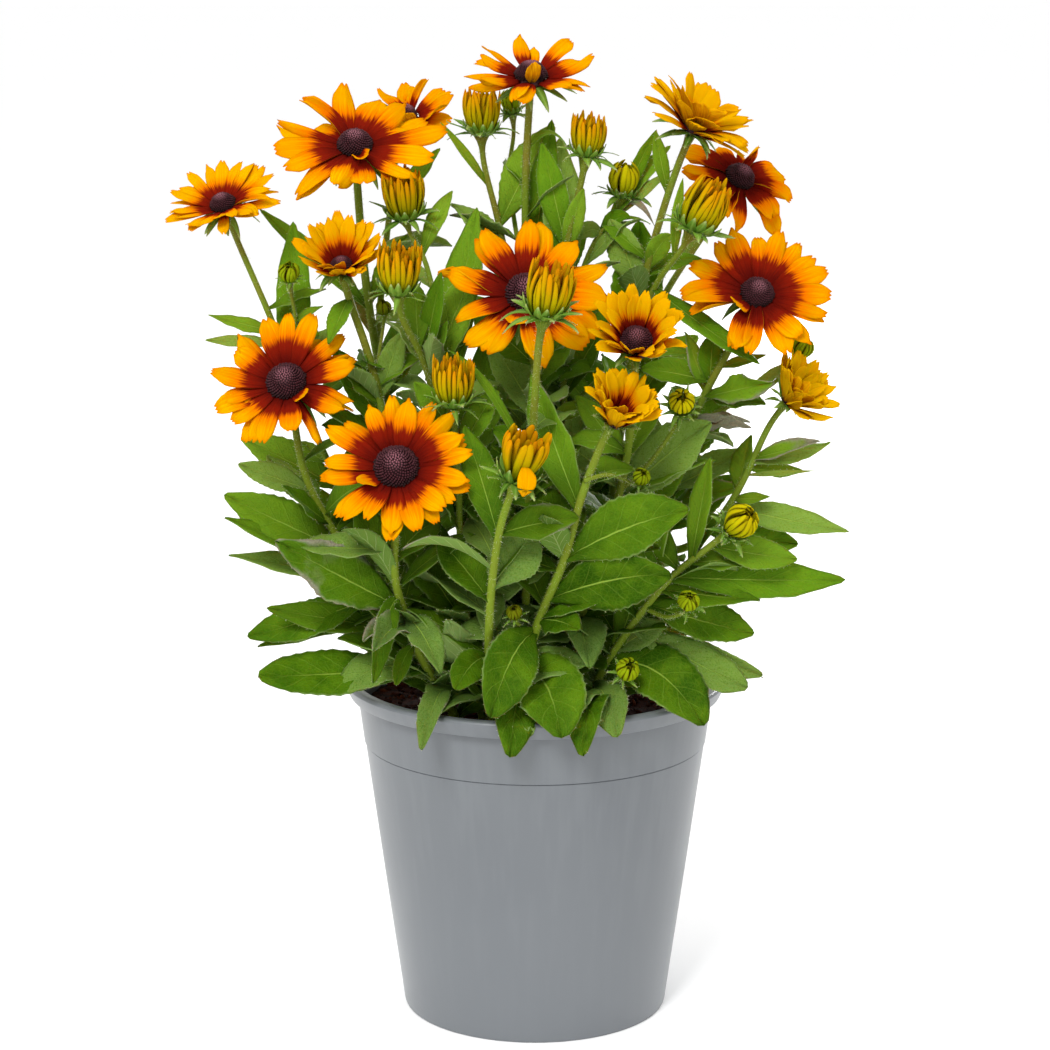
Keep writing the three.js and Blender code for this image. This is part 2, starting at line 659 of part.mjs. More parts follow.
// A leaf with its thickness, bent along its arched midrib. Growing it all round finds its neighbours.
function leaf({ base, tip, width, arch, facing }, grow) {
  const half = width / 2 + grow;
  const depth = LEAF_THICKNESS + grow * 2;
  const geometry = new THREE.ExtrudeGeometry(leafOutline(half), { depth, steps: 1, bevelEnabled: false });
  const middle = base.clone().lerp(tip, 0.5).addScaledVector(UP, arch);
  const midrib = new THREE.QuadraticBezierCurve3(base, middle, tip);
  const face = new THREE.Vector3(0, -facing, 1 - Math.abs(facing));
  const places = geometry.attributes.position;
  for (let i = 0; i < places.count; i += 1) {
    const along = places.getX(i);
    const tangent = midrib.getTangent(along);
    const side = new THREE.Vector3().crossVectors(face, tangent).normalize();
    const normal = new THREE.Vector3().crossVectors(tangent, side);
    const place = midrib
      .getPoint(along)
      .addScaledVector(side, places.getY(i))
      .addScaledVector(normal, places.getZ(i) - depth / 2);
    places.setXYZ(i, place.x, place.y, place.z);
  }
  return solidOf(geometry);
}

// The leaves of one shoot: those listed, and then those of the back rule.
function leavesOf(shoot, index) {
  const route = routeOf(shoot);
  const leaves = shoot.leaves.map(([along, x, y, z, width, arch, facing]) => {
    return { base: alongStalk(route, along), tip: point([x, y, z]), width, arch, facing };
  });
  for (let k = 0; k < (shoot.back ?? 0); k += 1) {
    const base = alongStalk(route, BACK_LEAF.first + BACK_LEAF.apart * k);
    const turn = radians(BACK_LEAF.turn + BACK_LEAF.spread * (((k + index) % 3) - 1) + BACK_LEAF.creep * k);
    const rise = radians(BACK_LEAF.rise + BACK_LEAF.steeper * k);
    const way = new THREE.Vector3(Math.cos(turn), Math.sin(turn), Math.tan(rise)).normalize();
    const tip = base.clone().addScaledVector(way, BACK_LEAF.length - BACK_LEAF.shorter * k);
    leaves.push({ ...BACK_LEAF, base, tip });
  }
  return leaves;
}

const touches = (a, b) => a.intersect(b).volume() > NO_VOLUME;
const clearOf = (solid, others) => !others.some((other) => touches(solid, other));

// A leaf or a star of sepals at its full size, or shorter where its neighbours leave no room.
function fitted(make, shrink, others) {
  let share = 1;
  for (let i = 0; i < LEAF_TRIES; i += 1) {
    if (clearOf(make(share, GAP), others)) return make(share, 0);
    share *= shrink;
  }
  return null;
}

function meshOf(name, solid, look) {
  const material = new THREE.MeshStandardMaterial({ ...look, metalness: 0 });
  const mesh = new THREE.Mesh(geometryOf(solid), material);
  mesh.name = name;
  return mesh;
}

const heads = [];
for (const [name, head] of Object.entries(FLOWERS)) {
  heads.push([`rays_${name}`, rays(head), LOOKS.ray]);
  heads.push([`cone_${name}`, cone(head), LOOKS.cone]);
}
for (const [name, head] of Object.entries(BUDS)) heads.push([`bud_${name}`, bud(head), LOOKS.bud]);

const stemNames = Object.keys(STEMS);
const potSolid = pot();
let soil = soilBlock();
for (const name of stemNames) {
  const [main] = STEMS[name];
  soil = soil.subtract(solidOf(stalk(routeOf(main), main.radius + SOCKET_GAP)));
}

// Each stem grows its stalks and small buds, then its sepals, and last its leaves where there is room.
const grown = stemNames.map((name) =>
  STEMS[name]
    .flatMap((shoot) => {
      const own = solidOf(stalk(routeOf(shoot), shoot.radius));
      return shoot.small ? [own, bud(headOf(shoot))] : [own];
    })
    .reduce((all, one) => all.add(one)),
);
const fixed = [potSolid, soil, ...heads.map(([, solid]) => solid)];
const neighbours = (index) => [...fixed, ...grown.filter((_, i) => i !== index)];
stemNames.forEach((name, index) => {
  for (const shoot of STEMS[name]) {
    const star = (share, grow) => {
      const geometry = sepals(headOf(shoot), share, grow);
      return solidOf(placed(geometry, headOf(shoot), seatDrop(shoot) - grow * SEAT_SHARE));
    };
    const made = fitted(star, SEPAL_SHRINK, neighbours(index));
    if (made) grown[index] = grown[index].add(made);
  }
});
stemNames.forEach((name, index) => {
  for (const shoot of STEMS[name]) {
    for (const place of leavesOf(shoot, index)) {
      const shorter = (share, grow) => {
        const tip = place.base.clone().lerp(place.tip, share);
        return leaf({ ...place, tip, arch: place.arch * share }, grow);
      };
      const made = fitted(shorter, LEAF_SHRINK, neighbours(index));
      if (made) grown[index] = grown[index].add(made);
    }
  }
});

const plant = new THREE.Group();
plant.add(meshOf("pot", potSolid, LOOKS.pot), meshOf("soil", soil, LOOKS.soil));
stemNames.forEach((name, i) => plant.add(meshOf(`stem_${name}`, grown[i], LOOKS.stem)));
for (const head of heads) plant.add(meshOf(...head));

export default plant;
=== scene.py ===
"""The looks of a potted black-eyed susan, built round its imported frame. Lengths are in millimetres."""

import math

import bmesh
import bpy
import numpy as np
from mathutils import Matrix, Vector


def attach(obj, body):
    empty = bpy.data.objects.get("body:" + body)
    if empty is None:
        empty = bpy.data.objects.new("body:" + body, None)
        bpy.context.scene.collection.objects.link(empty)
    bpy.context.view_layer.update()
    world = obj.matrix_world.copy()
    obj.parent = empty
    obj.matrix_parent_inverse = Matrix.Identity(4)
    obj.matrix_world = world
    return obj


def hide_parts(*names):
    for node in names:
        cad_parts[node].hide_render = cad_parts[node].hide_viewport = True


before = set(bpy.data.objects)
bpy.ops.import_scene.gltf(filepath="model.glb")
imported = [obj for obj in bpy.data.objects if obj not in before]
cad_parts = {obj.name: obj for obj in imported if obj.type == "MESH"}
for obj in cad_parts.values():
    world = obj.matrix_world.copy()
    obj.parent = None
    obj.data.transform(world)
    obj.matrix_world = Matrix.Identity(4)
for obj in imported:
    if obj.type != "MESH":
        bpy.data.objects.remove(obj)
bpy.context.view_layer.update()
bpy.ops.object.select_all(action="DESELECT")

MM = 0.001
SEED = 7
CAMERA_PITCH = 11.76  # degrees that the camera looks down

# Pot
POT_HEIGHT = 169
POT_BASE_RADIUS = 66
POT_FLARE = 0.136  # growth of the outer radius for each millimetre of height
POT_WALL = 1.8
POT_FLOOR = 2.6
POT_FOOT_ROUND = 1.6
STEP_HEIGHT = 136  # fine step line under the rim
STEP_DEPTH = 0.45
RIM_RADIUS = 95
RIM_HEIGHT = 8.4
RIM_SKIRT = 2
RIM_FLARE = 3
RIM_ROUND = 1.6
RIM_INNER_RADIUS = 89.3
POT_SIDES = 144
DRAIN_RADIUS = 5
DRAIN_CIRCLE = 44
DRAIN_COUNT = 6
DRAIN_SIDES = 24
SMOOTH_UNDER = 30  # degrees of bend up to which the pot is shaded smooth
BEVELS = ((POT_HEIGHT, 1.3), (0, 0.7), (POT_HEIGHT - RIM_HEIGHT, 0.5))  # rings that are rounded, and how wide

# Soil
SOIL_TOP = 154
SOIL_GAP = 0.4
SOIL_LUMPS = 0.96
SOIL_RINGS = 9
SOIL_SIDES = 96
GRANULES = 1500
GRANULE_SIZE = 0.42
GRANULE_LIMITS = (0.4, 3.2)

# Seats of the heads on their stalks
GAP = 0.3
RAY_THICKNESS = 0.8
CONE_TALL = 0.42  # height of a cone for each millimetre of its width
SMALL_BUD_SINK = 1
NECK_SINK = 1.4
NECK_STRAIGHT = 12
SMALL_NECK_STRAIGHT = 4

# Heads: at = middle of the dark cone or of the bud, turn = degrees from the front towards the right,
# lift = degrees above level, across = width over the rays.
FLOWERS = {
    "front_left": {"at": [-64, -100, 294], "turn": -5, "lift": 38, "across": 70, "rays": 19, "cone": 23},
    "left": {"at": [-117, -60, 327], "turn": -8, "lift": 41, "across": 68, "rays": 17, "cone": 21},
    "upper_left": {"at": [-86, -10, 434], "turn": 0, "lift": 56, "across": 76, "rays": 14, "cone": 19},
    "upper_left_back": {"at": [-64, 56, 443], "turn": 40, "lift": 58, "across": 56, "rays": 12, "cone": 15},
    "far_left": {"at": [-149, -20, 406], "turn": -25, "lift": 58, "across": 57, "rays": 15, "cone": 14},
    "cup_left": {"at": [-91, -45, 379], "turn": -5, "lift": 52, "across": 50, "rays": 14, "cone": 12},
    "top": {"at": [-2, 5, 467], "turn": 5, "lift": 70, "across": 68, "rays": 13, "cone": 21},
    "centre": {"at": [-4, -55, 368], "turn": 5, "lift": 38, "across": 78, "rays": 14, "cone": 22},
    "cup_centre": {"at": [46, -84, 349], "turn": 0, "lift": 42, "across": 56, "rays": 15, "cone": 18},
    "upper_right": {"at": [77, -5, 442], "turn": 55, "lift": 62, "across": 60, "rays": 15, "cone": 14},
    "upper_right_back": {"at": [102, 33, 414], "turn": 35, "lift": 46, "across": 60, "rays": 13, "cone": 17},
    "right": {"at": [106, -25, 364], "turn": 8, "lift": 40, "across": 74, "rays": 16, "cone": 18},
    "half_open_centre": {"at": [37, -95, 315], "turn": 32, "lift": 48, "across": 46, "rays": 13, "cone": 12},
    "half_open_right": {"at": [124, -22, 312], "turn": 58, "lift": 45, "across": 42, "rays": 12, "cone": 11},
}

# Buds: across and tall are the size of the barrel of florets, and reach is the length of the sepals.
BUDS = {
    "top_left": {"at": [-26, 15, 445], "turn": 0, "lift": 84, "across": 19, "tall": 20, "reach": 15},
    "upper_middle": {"at": [25, -5, 435], "turn": 30, "lift": 80, "across": 18, "tall": 18, "reach": 14},
    "left_high": {"at": [-63, -15, 408], "turn": -20, "lift": 74, "across": 21, "tall": 22, "reach": 15},
    "left": {"at": [-63, -68, 379], "turn": 10, "lift": 74, "across": 21, "tall": 22, "reach": 12},
    "centre_front": {"at": [6, -107, 374], "turn": 40, "lift": 72, "across": 23, "tall": 24, "reach": 18},
    "low_left": {"at": [-38, -80, 328], "turn": 0, "lift": 80, "across": 20, "tall": 21, "reach": 15},
    "upper_right": {"at": [80, -30, 404], "turn": 65, "lift": 62, "across": 24, "tall": 25, "reach": 15},
    "globe": {"at": [43, 15, 413], "turn": 20, "lift": 74, "across": 16, "tall": 16, "reach": 13},
    "opening": {"at": [-6, -115, 300], "turn": 40, "lift": 66, "across": 22, "tall": 23, "reach": 15},
    "under_top": {"at": [-12, 34, 449], "turn": -40, "lift": 78, "across": 11, "tall": 11, "reach": 9},
    "facing": {"at": [68, -63, 316], "turn": 0, "lift": 34, "across": 13, "tall": 11, "reach": 10},
    "low_right": {"at": [96, -72, 261], "turn": 45, "lift": 38, "across": 17, "tall": 16, "reach": 11},
}

# Buds too small for a piece of their own, which stay one with their stem.
SMALL_BUDS = {
    "far_left": {"at": [-117, -26, 372], "turn": 0, "lift": 66, "across": 11, "tall": 9, "reach": 7},
    "cup_left": {"at": [-72, -31, 356], "turn": 0, "lift": 62, "across": 8, "tall": 7, "reach": 5},
    "right": {"at": [130, 2, 332], "turn": 60, "lift": 58, "across": 12, "tall": 11, "reach": 8},
    "front_right": {"at": [49, -77, 283], "turn": 20, "lift": 40, "across": 9, "tall": 8, "reach": 6},
    "axil": {"at": [-10, -84, 220], "turn": -10, "lift": 50, "across": 8, "tall": 7, "reach": 6},
    "low_right": {"at": [71, -86, 226], "turn": 10, "lift": 46, "across": 11, "tall": 9, "reach": 7},
    "rim": {"at": [43, -82, 192], "turn": 20, "lift": 40, "across": 12, "tall": 10, "reach": 7},
}

# Stems: each shoot is a route from the soil, or from its own stem, to its head, with back leaves that the
# rule under it places. A leaf is [place along the route from 0 to 1, tip x, y and z, width, arch, how far its
# face turns to the front] and, where it has begun to wither, its age up to 1.
STEMS = {
    "front_left": [{
        "radius": 2.1, "flower": "front_left",
        "route": [[-36, -34, 146], [-42, -42, 166], [-53, -56, 188], [-61, -70, 214], [-66, -82, 240]],
        "leaves": [
            [0.53, -120, -92, 256, 23, 8, 0.55, 0.58], [0.28, -131, -72, 186, 21, 22, 0.5],
            [0.61, -89, -98, 262, 11, 14, -0.5], [0.42, -80, -92, 208, 12, 10, 0.3, 0.6],
            [0.23, -94, -66, 176, 16, 20, 0.45], [0.15, -53, -100, 158, 9, 26, 0.6, 0.4],
            [0.57, -76, -88, 187, 10, 20, 0.5, 0.4], [0.39, -66, -73, 182, 7, 6, 0.5, 0.3],
            [0.47, -75, -103, 206, 14, 8, 0.8, 0.55], [0.5, -44, -105, 196, 13, 8, 0.85, 0.3],
        ],
    }],
    "left": [{
        "radius": 2, "flower": "left", "back": 3,
        "route": [[-40, -12, 146], [-56, -24, 184], [-79, -40, 220], [-99, -50, 257], [-110, -54, 282]],
        "leaves": [
            [0.72, -139, -66, 287, 11, 4, 0.5], [0.55, -146, -64, 272, 19, 8, 0.5],
            [0.5, -145, -74, 263, 14, 6, 0.5], [0.47, -145, -60, 242, 12, 8, 0.5],
            [0.63, -118, -74, 278, 13, 6, 0.6], [0.41, -137, -58, 202, 18, 16, 0.5],
            [0.37, -133, -50, 195, 12, 12, 0.5], [0.3, -127, -66, 218, 13, 12, 0.2],
            [0.67, -127, -49, 288, 10, 4, 0.5, 0.3], [0.3, -86, -52, 272, 17, 3, 0.6],
        ],
    }],
    "far_left": [{
        "radius": 1.7, "flower": "far_left", "back": 3,
        "route": [[-32, 22, 146], [-42, 10, 175], [-74, -4, 224], [-104, -14, 286], [-125, -18, 345]],
        "leaves": [
            [0.77, -157, -14, 350, 7, 3, 0.5], [0.75, -158, -22, 339, 6, 4, 0.5],
            [0.7, -117, 4, 393, 14, 0, 0.5], [0.48, -145, 10, 286, 17, 6, 0.5],
        ],
    }, {
        "radius": 1, "small": "far_left",
        "route": [[-116, -17, 323], [-114, -22, 345]],
        "leaves": [[0.57, -101, -27, 356, 6, 3, 0.5], [0.53, -103, -29, 342, 8, 3, 0.5]],
    }],
    "upper_left": [{
        "radius": 2.3, "flower": "upper_left", "back": 5,
        "route": [
            [-25, 46, 146], [-33, 38, 180], [-54, 18, 246], [-73, 4, 308], [-81, -4, 357], [-84, -7, 393],
        ],
        "leaves": [
            [0.73, -134, 14, 398, 11, 12, 0.4], [0.68, -105, 8, 391, 6, 4, 0.5],
            [0.58, -39, 24, 339, 18, 6, 0.5], [0.78, -95, 5, 393, 9, 4, 0.5],
            [0.74, -56, 8, 388, 12, 4, 0.5],
        ],
    }, {
        "radius": 1.6, "flower": "upper_left_back",
        "route": [[-77, 0, 333], [-73, 22, 383], [-69, 40, 412]],
        "leaves": [[0.5, -47, 46, 425, 9, 4, 0.4]],
    }],
    "cup_left": [{
        "radius": 2.2, "flower": "cup_left", "back": 3,
        "route": [[-22, 2, 146], [-39, -6, 182], [-58, -18, 233], [-70, -28, 289], [-78, -36, 331]],
        "leaves": [
            [0.64, -97, -26, 336, 12, 6, 0.5], [0.52, -42, -16, 301, 17, 6, 0.5],
            [0.93, -97, -50, 341, 10, 6, 0.5], [0.72, -63, -36, 345, 10, 3, 0.5],
            [0.73, -56, -27, 340, 10, 3, 0.5], [0.71, -93, -38, 328, 12, 6, 0.5],
        ],
    }, {
        "radius": 0.9, "small": "cup_left",
        "route": [[-76, -34, 321], [-74, -32, 336]],
    }],
    "buds_left": [{
        "radius": 1.9, "bud": "left", "back": 3,
        "route": [[-12, 12, 146], [-22, 2, 188], [-35, -14, 252], [-45, -32, 298], [-53, -50, 336]],
        "leaves": [
            [0.69, -28, 0, 400, 19, 4, 0.5], [0.78, -27, -26, 374, 15, 8, 0.5],
            [0.57, -14, -34, 309, 14, 6, 0.5], [0.83, -44, -50, 375, 9, 3, 0.5],
            [0.86, -57, -45, 370, 11, 3, 0.5], [0.83, -70, -62, 353, 7, 6, 0.5, 0.5],
            [0.77, -41, -50, 352, 10, 3, 0.5], [0.46, -24, -8, 342, 18, 3, 0.6],
        ],
    }, {
        "radius": 1.4, "bud": "left_high",
        "route": [[-46, -34, 302], [-46, -24, 345], [-54, -18, 383]],
        "leaves": [[0.58, -66, -8, 372, 7, 6, 0.4], [0.75, -40, 2, 408, 8, 6, 0.4]],
    }],
    "low_bud_left": [{
        "radius": 1.8, "bud": "low_left", "back": 2,
        "route": [[-24, -30, 146], [-31, -44, 190], [-35, -57, 233], [-36, -69, 274], [-37, -75, 300]],
        "leaves": [
            [0.75, -58, -76, 300, 12, 6, 0.5], [0.84, -17, -70, 322, 11, 8, 0.5],
            [0.32, -44, -92, 223, 12, 6, -0.9], [0.91, -56, -81, 328, 10, 4, 0.5],
            [0.1, -41, -98, 220, 15, 3, -0.9], [0.34, -67, -52, 254, 20, 4, 0.6],
        ],
    }],
    "front_middle": [{
        "radius": 2.1, "bud": "opening",
        "route": [[-18, -50, 146], [-22, -60, 173], [-22, -82, 208], [-20, -97, 240], [-16, -108, 268]],
        "leaves": [
            [0.69, -61, -118, 257, 8, 14, -0.5, 0.5], [0.58, -45, -80, 254, 19, 4, 0.6],
            [0.63, 1, -86, 259, 21, 4, 0.6], [0.81, -33, -84, 308, 14, 4, 0.7],
            [0.36, -37, -104, 188, 13, 8, 0.5],
        ],
    }],
    "front_right": [{
        "radius": 2.2, "flower": "half_open_centre",
        "route": [
            [-4, -46, 146], [-6, -56, 177], [-1, -68, 205], [6, -78, 226], [14, -86, 248], [20, -91, 274],
        ],
        "leaves": [
            [0.36, -21, -108, 176, 22, 16, 0.8], [0.21, 12, -104, 165, 23, 22, 0.8],
            [0.15, -12, -105, 156, 16, 24, 0.7], [0.4, 20, -98, 215, 14, 4, 0.7],
            [0.6, 70, -100, 272, 24, 6, 0.7], [0.47, 62, -106, 243, 23, 6, 0.7],
            [0.75, -2, -68, 330, 16, 2, 0.7], [0.6, 3, -102, 270, 12, 2, -0.7],
        ],
    }, {
        "radius": 1, "small": "front_right",
        "route": [[22, -92, 284], [34, -86, 286]],
    }, {
        "radius": 0.9, "small": "axil",
        "route": [[-2, -68, 203], [-6, -73, 210]],
    }],
    "centre_front": [{
        "radius": 2.1, "bud": "centre_front", "back": 3,
        "route": [[-6, -16, 146], [-5, -32, 196], [-4, -60, 250], [-2, -86, 297], [0, -101, 332]],
        "leaves": [
            [0.67, -41, -60, 340, 4, 18, 0.5], [0.59, 23, -64, 300, 14, 6, 0.6],
            [0.43, -30, -54, 270, 17, 6, 0.6], [0.35, 25, -58, 243, 17, 6, 0.6],
        ],
    }],
    "centre": [{
        "radius": 2.2, "flower": "centre", "back": 4,
        "route": [[5, 12, 146], [5, 2, 197], [6, -12, 251], [4, -28, 293], [0, -38, 326]],
        "leaves": [
            [0.44, 31, -6, 297, 19, 6, 0.5], [0.37, -27, -2, 269, 20, 6, 0.5],
            [0.69, -22, -10, 337, 16, 6, 0.5], [0.51, 36, -16, 321, 13, 6, 0.5],
        ],
    }],
    "top": [{
        "radius": 2.2, "flower": "top", "back": 6,
        "route": [[-4, 50, 146], [-1, 42, 200], [-2, 30, 264], [-3, 18, 335], [-5, 10, 394], [-4, 7, 434]],
        "leaves": [
            [0.68, 8, 18, 441, 13, 0, 0.5], [0.62, 25, 24, 385, 15, 10, 0.5],
            [0.89, 18, 10, 424, 4, 20, 0.4], [0.52, -32, 34, 353, 20, 8, 0.5],
            [0.37, 34, 40, 337, 20, 8, 0.5],
        ],
    }, {
        "radius": 1.7, "bud": "top_left",
        "route": [[-3, 18, 333], [-13, 14, 370], [-20, 14, 401]],
        "leaves": [
            [0.57, 9, 24, 438, 18, 2, 0.5], [0.75, -46, 16, 440, 4, 2, 0.4],
            [0.36, -41, 8, 401, 17, 6, 0.5],
        ],
    }, {
        "radius": 1.2, "bud": "under_top",
        "route": [[-4, 15, 358], [-11, 24, 396], [-13, 30, 422]],
        "leaves": [[0.66, 12, 4, 398, 4, 14, 0.5]],
    }],
    "upper_middle": [{
        "radius": 1.9, "bud": "upper_middle", "back": 4,
        "route": [[16, 44, 146], [18, 36, 201], [16, 22, 264], [13, 6, 336], [15, -3, 386]],
        "leaves": [
            [0.77, 12, 24, 432, 17, 2, 0.5], [0.57, 41, 2, 352, 17, 8, 0.5],
            [0.48, -9, 38, 323, 17, 8, 0.5], [0.84, 3, 3, 431, 12, 2, 0.6], [0.83, 23, -5, 410, 8, 2, 0.6],
        ],
    }, {
        "radius": 1.4, "bud": "globe",
        "route": [[13, 7, 328], [22, 11, 366], [33, 14, 390]],
        "leaves": [
            [0.5, 51, 4, 394, 13, 8, 0.5], [0.77, 66, 24, 428, 9, 4, 0.4], [0.77, 56, 12, 391, 4, 6, 0.3],
            [0.71, 46, 8, 395, 8, 5, 0.6], [0.71, 20, 8, 383, 8, 6, 0.6], [0.89, 59, 21, 436, 6, 4, 0.6],
            [0.84, 67, 16, 417, 5, 3, 0.6], [0.94, 58, 9, 390, 3.5, 12, 0.5, 1],
        ],
    }],
    "upper_right": [{
        "radius": 2.1, "flower": "upper_right", "back": 6,
        "route": [[30, 34, 146], [34, 26, 213], [42, 14, 286], [49, 5, 346], [58, -2, 388]],
        "leaves": [
            [0.59, 51, 26, 391, 22, 2, 0.6], [0.75, 81, 12, 374, 10, 6, 0.5],
            [0.5, 81, 34, 333, 17, 8, 0.5], [0.89, 58, 14, 436, 6, 2, 0.4], [0.76, 65, -7, 388, 9, 5, 0.6],
            [0.72, 36, 5, 394, 14, 4, 0.6],
        ],
    }, {
        "radius": 1.6, "bud": "upper_right",
        "route": [[45, 10, 314], [51, -7, 348], [61, -20, 372]],
        "leaves": [[0.61, 106, -40, 330, 11, 12, 0.5], [0.82, 70, -17, 416, 5, 2, 0.5]],
    }, {
        "radius": 1.6, "flower": "upper_right_back",
        "route": [[46, 10, 322], [66, 26, 359], [84, 34, 384]],
        "leaves": [[0.5, 85, 56, 398, 7, 4, 0.4]],
    }],
    "right": [{
        "radius": 2.1, "flower": "right", "back": 4,
        "route": [[38, 14, 146], [48, 2, 208], [62, -8, 260], [79, -14, 306], [92, -17, 332]],
        "leaves": [
            [0.74, 113, -40, 322, 12, 6, 0.5, 0.5], [0.68, 103, -38, 299, 8, 4, 0.4, 1.0],
            [0.56, 92, 12, 306, 18, 6, 0.5], [0.42, 101, 14, 266, 18, 8, 0.5],
            [0.81, 111, -22, 332, 5, 3, 0.5], [0.75, 110, -29, 309, 13, 16, 0.6],
            [0.69, 103, -27, 300, 8, 5, 0.5, 1], [0.77, 86, -7, 340, 11, 2, 0.5, 0.3],
            [0.75, 72, -7, 341, 7, 2, 0.5, 0.5], [0.59, 94, 4, 307, 14, 4, 0.5],
            [0.52, 104, 6, 281, 15, 5, 0.5], [0.47, 81, 10, 286, 15, 5, 0.5],
        ],
    }, {
        "radius": 1.8, "flower": "half_open_right",
        "route": [[54, -4, 232], [75, -12, 234], [93, -20, 256], [104, -22, 278]],
        "leaves": [
            [0.47, 151, -30, 247, 13, 14, 0.6], [0.71, 136, -34, 292, 9, 4, 0.5, 0.8],
            [0.66, 130, -14, 274, 7, 6, 0.5], [0.33, 128, -16, 238, 16, 12, 0.6],
            [0.55, 105, -11, 291, 12, 4, 0.5], [0.69, 142, -24, 290, 9, 4, 0.5, 0.3],
            [0.63, 134, -30, 277, 3, 6, 0.5], [0.51, 113, -29, 264, 6, 4, 0.5],
        ],
    }, {
        "radius": 1.2, "small": "right",
        "route": [[75, -13, 295], [96, -4, 305], [116, 0, 314]],
        "leaves": [[0.49, 124, 14, 323, 6, 6, 0.4]],
    }],
    "cup_centre": [{
        "radius": 2.1, "flower": "cup_centre", "back": 3,
        "route": [[10, -24, 146], [19, -34, 196], [33, -48, 244], [42, -60, 284], [45, -68, 314]],
        "leaves": [
            [0.6, 83, -46, 303, 22, 6, 0.6, 0.3], [0.29, 25, -84, 193, 19, 16, 0.6],
            [0.23, 62, -66, 208, 19, 6, 0.5], [0.7, 19, -46, 316, 11, 4, 0.6],
            [0.51, 72, -22, 277, 17, 8, 0.6],
        ],
    }, {
        "radius": 1.1, "bud": "facing",
        "route": [[40, -57, 273], [52, -58, 284], [61, -57, 296]],
    }],
    "low_right": [{
        "radius": 1.9, "bud": "low_right", "back": 2,
        "route": [[20, -42, 146], [29, -49, 177], [45, -57, 206], [62, -62, 230], [78, -64, 244]],
        "leaves": [
            [0.17, 12, -98, 167, 16, 20, 0.7], [0.14, 22, -103, 156, 15, 24, 0.7],
            [0.2, 38, -99, 164, 13, 20, 0.7], [0.31, 79, -86, 166, 20, 24, 0.7],
            [0.49, 101, -62, 178, 17, 18, 0.6], [0.54, 110, -44, 178, 4, 20, 0.5, 0.5],
            [0.59, 104, -56, 203, 19, 12, 0.6], [0.66, 106, -64, 221, 15, 8, 0.6],
            [0.72, 148, -46, 227, 16, 12, 0.6], [0.8, 108, -50, 240, 12, 6, 0.6],
            [0.22, 49, -78, 183, 6, 6, 0.3], [0.81, 82, -60, 289, 10, 4, 0.6],
            [0.9, 124, -55, 239, 14, 8, 0.6], [0.4, 66, -48, 268, 18, 3, 0.6],
            [0.5, 109, -50, 181, 12, 17, 0.75],
        ],
    }, {
        "radius": 1, "small": "low_right",
        "route": [[52, -59, 216], [62, -69, 214]],
    }, {
        "radius": 1.1, "small": "rim",
        "route": [[27, -48, 173], [33, -60, 178]],
    }],
}

# Back leaves, one above the other round their stem: where on it the first is, how far apart they are, their
# length and how much shorter each next one is, and in degrees where they point and how they climb.
BACK_LEAF = {
    "first": 0.1, "apart": 0.085, "length": 70, "shorter": 5, "turn": 72, "spread": 58, "creep": 9, "rise": 4,
    "steeper": 9, "width": 24, "arch": 12, "facing": -0.4,
}

